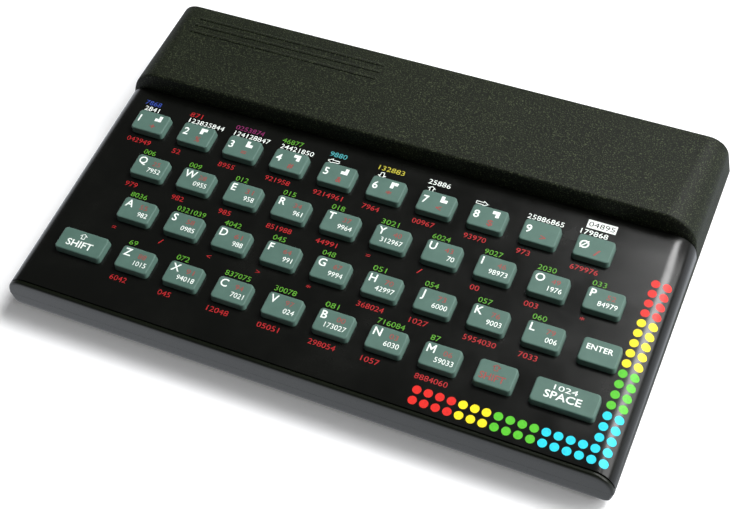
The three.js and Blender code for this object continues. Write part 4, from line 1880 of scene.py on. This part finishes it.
    def dot_mesh(self, surface: Surface, patch: Patch) -> None:
        """Adds a dot that follows the plate, also where it rolls over the plate's right shoulder.

        The dot is drawn as rings about its middle. A point at the distance d beyond the start of
        the shoulder drops by r - sqrt(r^2 - d^2), with r the shoulder's radius.

        Args:
            surface: Mesh that takes it.
            patch: The dot.
        """
        middle = patch.outline.mean(axis=0)
        shares = np.array([1, 0.8, 0.55, 0.3])[:, None, None]
        flat = middle + (patch.outline - middle) * shares
        x, s = flat[..., 0], flat[..., 1]
        radius = self.form.deck_shoulder
        beyond = np.clip(x - self.form.shoulder_start(s), 0, radius)
        drop = radius - np.sqrt(radius**2 - beyond**2)
        upper = np.stack([x, s, self.proud - drop], axis=-1)
        lower = np.stack([x, s, -self.sunk - drop], axis=-1)
        rings = np.concatenate([lower[::-1], upper])
        surface.tube(self.form.on_deck(rings), patch.ink.value)

    def finish_print(self, surface: Surface, name: str, body: str) -> None:
        """Turns gathered words and patches into one piece.

        Args:
            surface: Mesh that holds them.
            name: Name of the piece.
            body: CAD body that it rides on.
        """
        piece = surface.piece(name, crease=30, weld=0.0005)
        dress(piece, *[INKS[ink] for ink in Print])
        settle(piece, body, None)

    def key_words(self, spot: KeySpot) -> list[Word]:
        """The words on one key.

        Args:
            spot: The key.

        Returns:
            The words, about its middle.
        """
        if spot.name in self.WORDS:
            return self.WORDS[spot.name]
        if spot.row == 0:
            digit = "\u00d8" if spot.name == "0" else spot.name
            sign = self.KEY_SIGNS[spot.column]
            return [replace(self.DIGIT, says=digit), replace(self.SIGN, says=sign)]
        low = self.number(spot, Series.KEY_LOW, self.KEY_DIGITS[spot.row][spot.column])
        return [
            replace(self.LETTER, says=spot.name.upper()),
            replace(self.KEY_LOW, says=low),
            replace(self.KEY_HIGH, says=self.number(spot, Series.KEY_HIGH, 2)),
        ]

    def quadrant(self, spot: KeySpot) -> list[Patch]:
        """The small square on a number key, with one quarter of it left open.

        Args:
            spot: The key.

        Returns:
            The square's three other quarters, or nothing on a key without one.
        """
        if spot.row or spot.column >= len(self.OPEN_QUARTERS):
            return []
        place = self.near(spot, self.quarter_place, self.key_shift)
        square = np.array([[0, 0], [1, 0], [1, 1], [0, 1]]) * (self.quarter_size - self.quarter_gap)
        return [
            Patch(place + np.array([across, up]) * self.quarter_size + square, Print.WHITE)
            for across in (0, 1)
            for up in (0, 1)
            if (across, up) != self.OPEN_QUARTERS[spot.column]
        ]

    def arrow(self, spot: KeySpot) -> list[Patch]:
        """The hollow arrow over some of the number keys.

        Args:
            spot: The key.

        Returns:
            The strips of its outline, or nothing on a key without one.
        """
        if spot.row or spot.column not in self.ARROW_TURNS:
            return []
        place = self.near(spot, self.arrow_place, self.plate_shift)
        return arrow_strips(place, self.ARROW_TURNS[spot.column], 1.0, Print.WHITE)

    def shift_arrow(self, spot: KeySpot) -> list[Patch]:
        """The hollow arrow over the word on the two shift keys.

        Args:
            spot: The key.

        Returns:
            The strips of its outline, or nothing on any other key.
        """
        if not spot.name.endswith("shift"):
            return []
        ink = self.WORDS[spot.name][0].ink
        place = self.near(spot, self.shift_arrow_place, self.key_shift)
        return arrow_strips(place, 1, self.shift_arrow_scale, ink)

    def build_key_prints(self) -> None:
        """One print for each key, riding with it."""
        for spot in self.keyboard.spots():
            surface = Surface()
            place = self.near(spot, (0, 0), self.key_shift)
            for word in self.key_words(spot):
                self.word_mesh(surface, word, place, self.keyboard.height)
            for patch in self.quadrant(spot) + self.shift_arrow(spot):
                self.patch_mesh(surface, patch, self.keyboard.height)
            self.finish_print(surface, f"print_{spot.name}", f"key_{spot.name}")

    def plate_words(self, spot: KeySpot) -> list[Word]:
        """The words on the plate round one key.

        Args:
            spot: The key.

        Returns:
            The words, about its middle.
        """
        row, column = spot.row, spot.column
        words = []
        if row == 0 and column < len(self.TOP_DIGITS):
            name, digits = list(self.TOP_DIGITS.items())[column]
            line = replace(self.TOP, ink=Print[name])
            words.append(line.word(self.number(spot, Series.TOP, digits), column))
        if self.boxed(spot):
            words.append(replace(self.BOXED, says=self.number(spot, Series.TOP, 5)))
        if row == 0 and column in self.EDIT_SIZES:
            digits, width = self.EDIT_SIZES[column]
            code = self.number(spot, Series.EDIT, digits)
            words.append(replace(self.EDIT, says=code, right=self.EDIT.left + width))
        for line, series, table in (
            (self.ABOVE, Series.ABOVE, self.ABOVE_DIGITS[row]),
            (self.BELOW, Series.BELOW, self.BELOW_DIGITS[row]),
        ):
            digits = table[column] if column < len(table) else 0
            if digits == 1:
                sign = self.BELOW_SIGNS[(row * 5 + column) % len(self.BELOW_SIGNS)]
                words.append(line.word(sign, column))
            elif digits:
                words.append(line.word(self.number(spot, series, digits), column))
        return words

    def boxed(self, spot: KeySpot) -> bool:
        """True for the key whose top number is dark in a white box, the last of the rear row."""
        return spot.row == 0 and spot.column == len(self.KEY_SIGNS) - 1

    def build_plate_print(self) -> None:
        """Everything printed on the plate, in one piece."""
        surface = Surface()
        for spot in self.keyboard.spots():
            if self.boxed(spot):
                box = rounded_ring(*self.box_size, 2)
                corner = self.near(spot, self.box_place, self.plate_shift)
                self.patch_mesh(surface, Patch(box + corner, Print.WHITE), 0)
            place = self.near(spot, (0, 0), self.plate_shift)
            for word in self.plate_words(spot):
                height = self.overprint if word.ink is Print.BLACK else 0
                self.word_mesh(surface, word, place, height)
            for patch in self.arrow(spot):
                self.patch_mesh(surface, patch, 0)
        for patch in self.dots():
            self.dot_mesh(surface, patch)
        self.finish_print(surface, "print_plate", "case")

    def dots(self) -> list[Patch]:
        """Coloured dots in a band that turns round the plate's front right corner.

        The band has two lines of dots along the front margin and two up the right one. Its colour
        changes four times on the way to the corner and back again behind it.

        Returns:
            One patch for each dot.
        """
        turn = np.linspace(0, 2 * np.pi, self.dot_sides, endpoint=False)
        circle = np.stack([np.cos(turn), np.sin(turn)], axis=-1) * self.dot_radius
        inks, pitch = len(self.DOT_INKS), self.dot_pitch
        found = []
        along = round((self.dots_right - self.dots_left) / pitch)
        for step in range(along + self.dot_lines):
            ink = self.DOT_INKS[min(inks - 1, step * inks // (along - 1))]
            for line in range(self.dot_lines):
                place = [self.dots_left + step * pitch, self.dots_front + line * pitch]
                found.append(Patch(circle + place, ink))
        up = round((self.dots_rear - self.dots_front) / pitch)
        for step in range(self.dot_lines, up + 1):
            ink = self.DOT_INKS[max(0, inks - 1 - step * inks // (up + 1))]
            for line in range(self.dot_lines):
                place = [self.dots_right + line * pitch, self.dots_front + step * pitch]
                found.append(Patch(circle + place, ink))
        return found


# Half of an arrow's outline from its tip, the stretch of an upright one, and its line's width.
ARROW_HALF = np.array([[2.3, 0], [0.5, 1.05], [0.5, 0.5], [-2.3, 0.5]])
ARROW_UPRIGHT = np.array([0.5, 1.35])
ARROW_STROKE = 0.28


def arrow_strips(place: Array, turns: int, scale: float, ink: Print) -> list[Patch]:
    """The outline of a hollow arrow as strips.

    The arrow points along x, and is then turned by so many quarter turns.

    Args:
        place: Its middle on the deck.
        turns: Quarter turns anticlockwise.
        scale: Its size, with 1 for 4.6 mm long.
        ink: Its ink.

    Returns:
        One patch for each side of the outline.
    """
    outline = np.concatenate([ARROW_HALF, ARROW_HALF[::-1][:-1] * [1, -1]])
    if turns % 2:
        outline = outline * ARROW_UPRIGHT
    angle = turns * math.pi / 2
    turn = np.array([[math.cos(angle), -math.sin(angle)], [math.sin(angle), math.cos(angle)]])
    return stroke(outline @ turn.T * scale + place, ARROW_STROKE, ink)


def stroke(outline: Array, width: float, ink: Print) -> list[Patch]:
    """Strips along the sides of a closed outline.

    Each strip is a side widened by half the width to both sides and lengthened by half at each end.

    Args:
        outline: Corners of the outline.
        width: Width of the strips.
        ink: Their ink.

    Returns:
        One patch for each side.
    """
    patches = []
    for start, stop in zip(outline, np.roll(outline, -1, axis=0)):
        along = (stop - start) / float(np.linalg.norm(stop - start)) * width / 2
        across = np.array([-along[1], along[0]])
        begin, end = start - along, stop + along
        corners = [begin + across, begin - across, end - across, end + across]
        patches.append(Patch(np.array(corners), ink))
    return patches


class Electronics:
    """Finishes for what lies inside the case and shows through its openings."""

    FINISHES = {
        "mainboard": BOARD_LAMINATE,
        "heatsink": HEATSINK_METAL,
        "tv_modulator": MODULATOR_TIN,
        "key_mat": MAT_RUBBER,
        "key_membrane": MEMBRANE_FILM,
        "ear_socket": SOCKET_PLASTIC,
        "mic_socket": SOCKET_PLASTIC,
        "power_socket": SOCKET_PLASTIC,
    }

    def dress_nodes(self) -> None:
        """Gives each CAD node that shows its finish."""
        for name, finish in self.FINISHES.items():
            dress(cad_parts[name], finish)
            log.info("%s: dressed", name)


@dataclass(frozen=True)
class Lamp:
    """A soft rectangular lamp that faces a point of the object."""

    name: str
    place: tuple[float, float, float]
    target: tuple[float, float, float]
    width: float
    height: float
    watts: float


@dataclass
class Studio:
    """The floor, the lamps, the world and the camera.

    Reflections see the world white near the horizon and dimmer overhead, like a pale backdrop
    under an unlit ceiling. The camera's place is in metres and its turn in degrees.
    """

    fill: float = 0.07
    ceiling: float = 0.1
    ceiling_low: float = -0.02
    ceiling_high: float = 0.1
    floor_reach: float = 3000
    floor_tones: tuple[Colour, Colour] = ((0.87, 0.875, 0.89), (0.89, 0.895, 0.905))
    floor_lift: float = 0.15
    floor_mirrored: Colour = (0.9, 0.94, 1)
    lamps: tuple[Lamp, ...] = (
        Lamp("lamp_rear", (0.45, 0.62, 1.1), (0, 0, 0), 0.85, 0.5, 26),
        Lamp("lamp_right", (1.25, 0.3, 0.8), (0, 0, 0), 1.2, 0.9, 18),
    )
    lens: float = 68.55
    sensor: float = 36
    sight: float = 20
    camera_place: tuple[float, float, float] = (0.15763, -0.28767, 0.42426)
    camera_turn: tuple[float, float, float] = (37.196394, 4.281229, 23.450935)

    def build_floor(self) -> None:
        """A wide pale floor that reads white to the camera and keeps the object's shadow."""
        floor = Surface()
        reach = np.array([-self.floor_reach, self.floor_reach])
        y, x = np.meshgrid(reach, reach, indexing="ij")
        floor.grid(np.stack([x, y, 0 * x], axis=-1))
        piece = floor.piece("floor")
        material = bpy.data.materials.new("floor_pale")
        material.use_nodes = True
        nodes = Nodes(material.node_tree)
        ray = nodes.add("ShaderNodeLightPath").outputs
        mirrored = nodes.calc("MAXIMUM", ray["Is Glossy Ray"], ray["Is Transmission Ray"])
        colour = nodes.blend(nodes.noise(300, detail=2), *self.floor_tones)
        matt = nodes.add("ShaderNodeBsdfDiffuse", {"Color": colour})
        lift = nodes.calc("MULTIPLY", ray["Is Camera Ray"], self.floor_lift)
        inputs = {"Color": (1, 1, 1, 1), "Strength": lift}
        glow = nodes.add("ShaderNodeEmission", inputs)
        total = nodes.add("ShaderNodeAddShader", {0: matt.outputs[0], 1: glow.outputs[0]})
        inputs = {"Color": (*self.floor_mirrored, 1), "Strength": 1.0}
        white = nodes.add("ShaderNodeEmission", inputs)
        inputs = {0: mirrored, 1: total.outputs[0], 2: white.outputs[0]}
        nodes.surface(nodes.add("ShaderNodeMixShader", inputs).outputs[0])
        piece.data.materials.append(material)

    def build_world(self) -> None:
        """A plain fill light, and white for what the camera and reflections see."""
        world = bpy.data.worlds.new("studio")
        bpy.context.scene.world = world
        world.use_nodes = True
        nodes = Nodes(world.node_tree)
        ray = nodes.add("ShaderNodeLightPath").outputs
        mirrored = nodes.calc("MAXIMUM", ray["Is Glossy Ray"], ray["Is Transmission Ray"])
        seen = nodes.calc("MAXIMUM", ray["Is Camera Ray"], mirrored)
        height = nodes.parts(nodes.add("ShaderNodeTexCoord").outputs["Generated"])[2]
        ceiling = nodes.span(height, self.ceiling_low, self.ceiling_high, 1.0, self.ceiling)
        shown = nodes.calc("MULTIPLY", seen, nodes.calc("MAXIMUM", ray["Is Camera Ray"], ceiling))
        strength = nodes.calc("ADD", shown, nodes.span(seen, 0, 1, self.fill, 0))
        inputs = {"Color": (1, 1, 1, 1), "Strength": strength}
        background = nodes.add("ShaderNodeBackground", inputs)
        nodes.add("ShaderNodeOutputWorld", {"Surface": background.outputs[0]})

    def build_lamps(self) -> None:
        """The soft lamps, each turned to face its target."""
        for lamp in self.lamps:
            light = bpy.data.lights.new(lamp.name, "AREA")
            light.shape = "RECTANGLE"
            light.size = lamp.width
            light.size_y = lamp.height
            light.energy = lamp.watts
            holder = bpy.data.objects.new(lamp.name, light)
            holder.location = lamp.place
            way = Vector(lamp.target) - Vector(lamp.place)
            holder.rotation_euler = way.to_track_quat("-Z", "Y").to_euler()
            bpy.context.scene.collection.objects.link(holder)

    def build_camera(self) -> None:
        """The camera at the photograph's angle, above the front right corner."""
        camera = bpy.data.cameras.new("camera")
        camera.lens = self.lens
        camera.sensor_width = self.sensor
        camera.clip_end = self.sight
        holder = bpy.data.objects.new("camera", camera)
        holder.location = self.camera_place
        holder.rotation_euler = [math.radians(angle) for angle in self.camera_turn]
        bpy.context.scene.collection.objects.link(holder)
        bpy.context.scene.camera = holder

    def build(self) -> None:
        """Builds the floor, the world, the lamps and the camera."""
        self.build_floor()
        self.build_world()
        self.build_lamps()
        self.build_camera()
        bpy.context.scene.view_settings.view_transform = "Standard"


def main() -> None:
    """Builds the computer piece by piece, then its studio."""
    logging.basicConfig(level=logging.INFO, format="%(message)s")
    form = CaseForm()
    case = Case(form)
    case.build_upper()
    case.build_lower()
    HumpRibs(form).build()
    fastenings = Fastenings()
    fastenings.build_feet()
    fastenings.build_screws()
    keyboard = Keyboard(form)
    keyboard.build_plate()
    keyboard.build_keys()
    legends = Legends(form, keyboard)
    legends.build_key_prints()
    legends.build_plate_print()
    Electronics().dress_nodes()
    Studio().build()


if __name__ == "__main__":
    main()
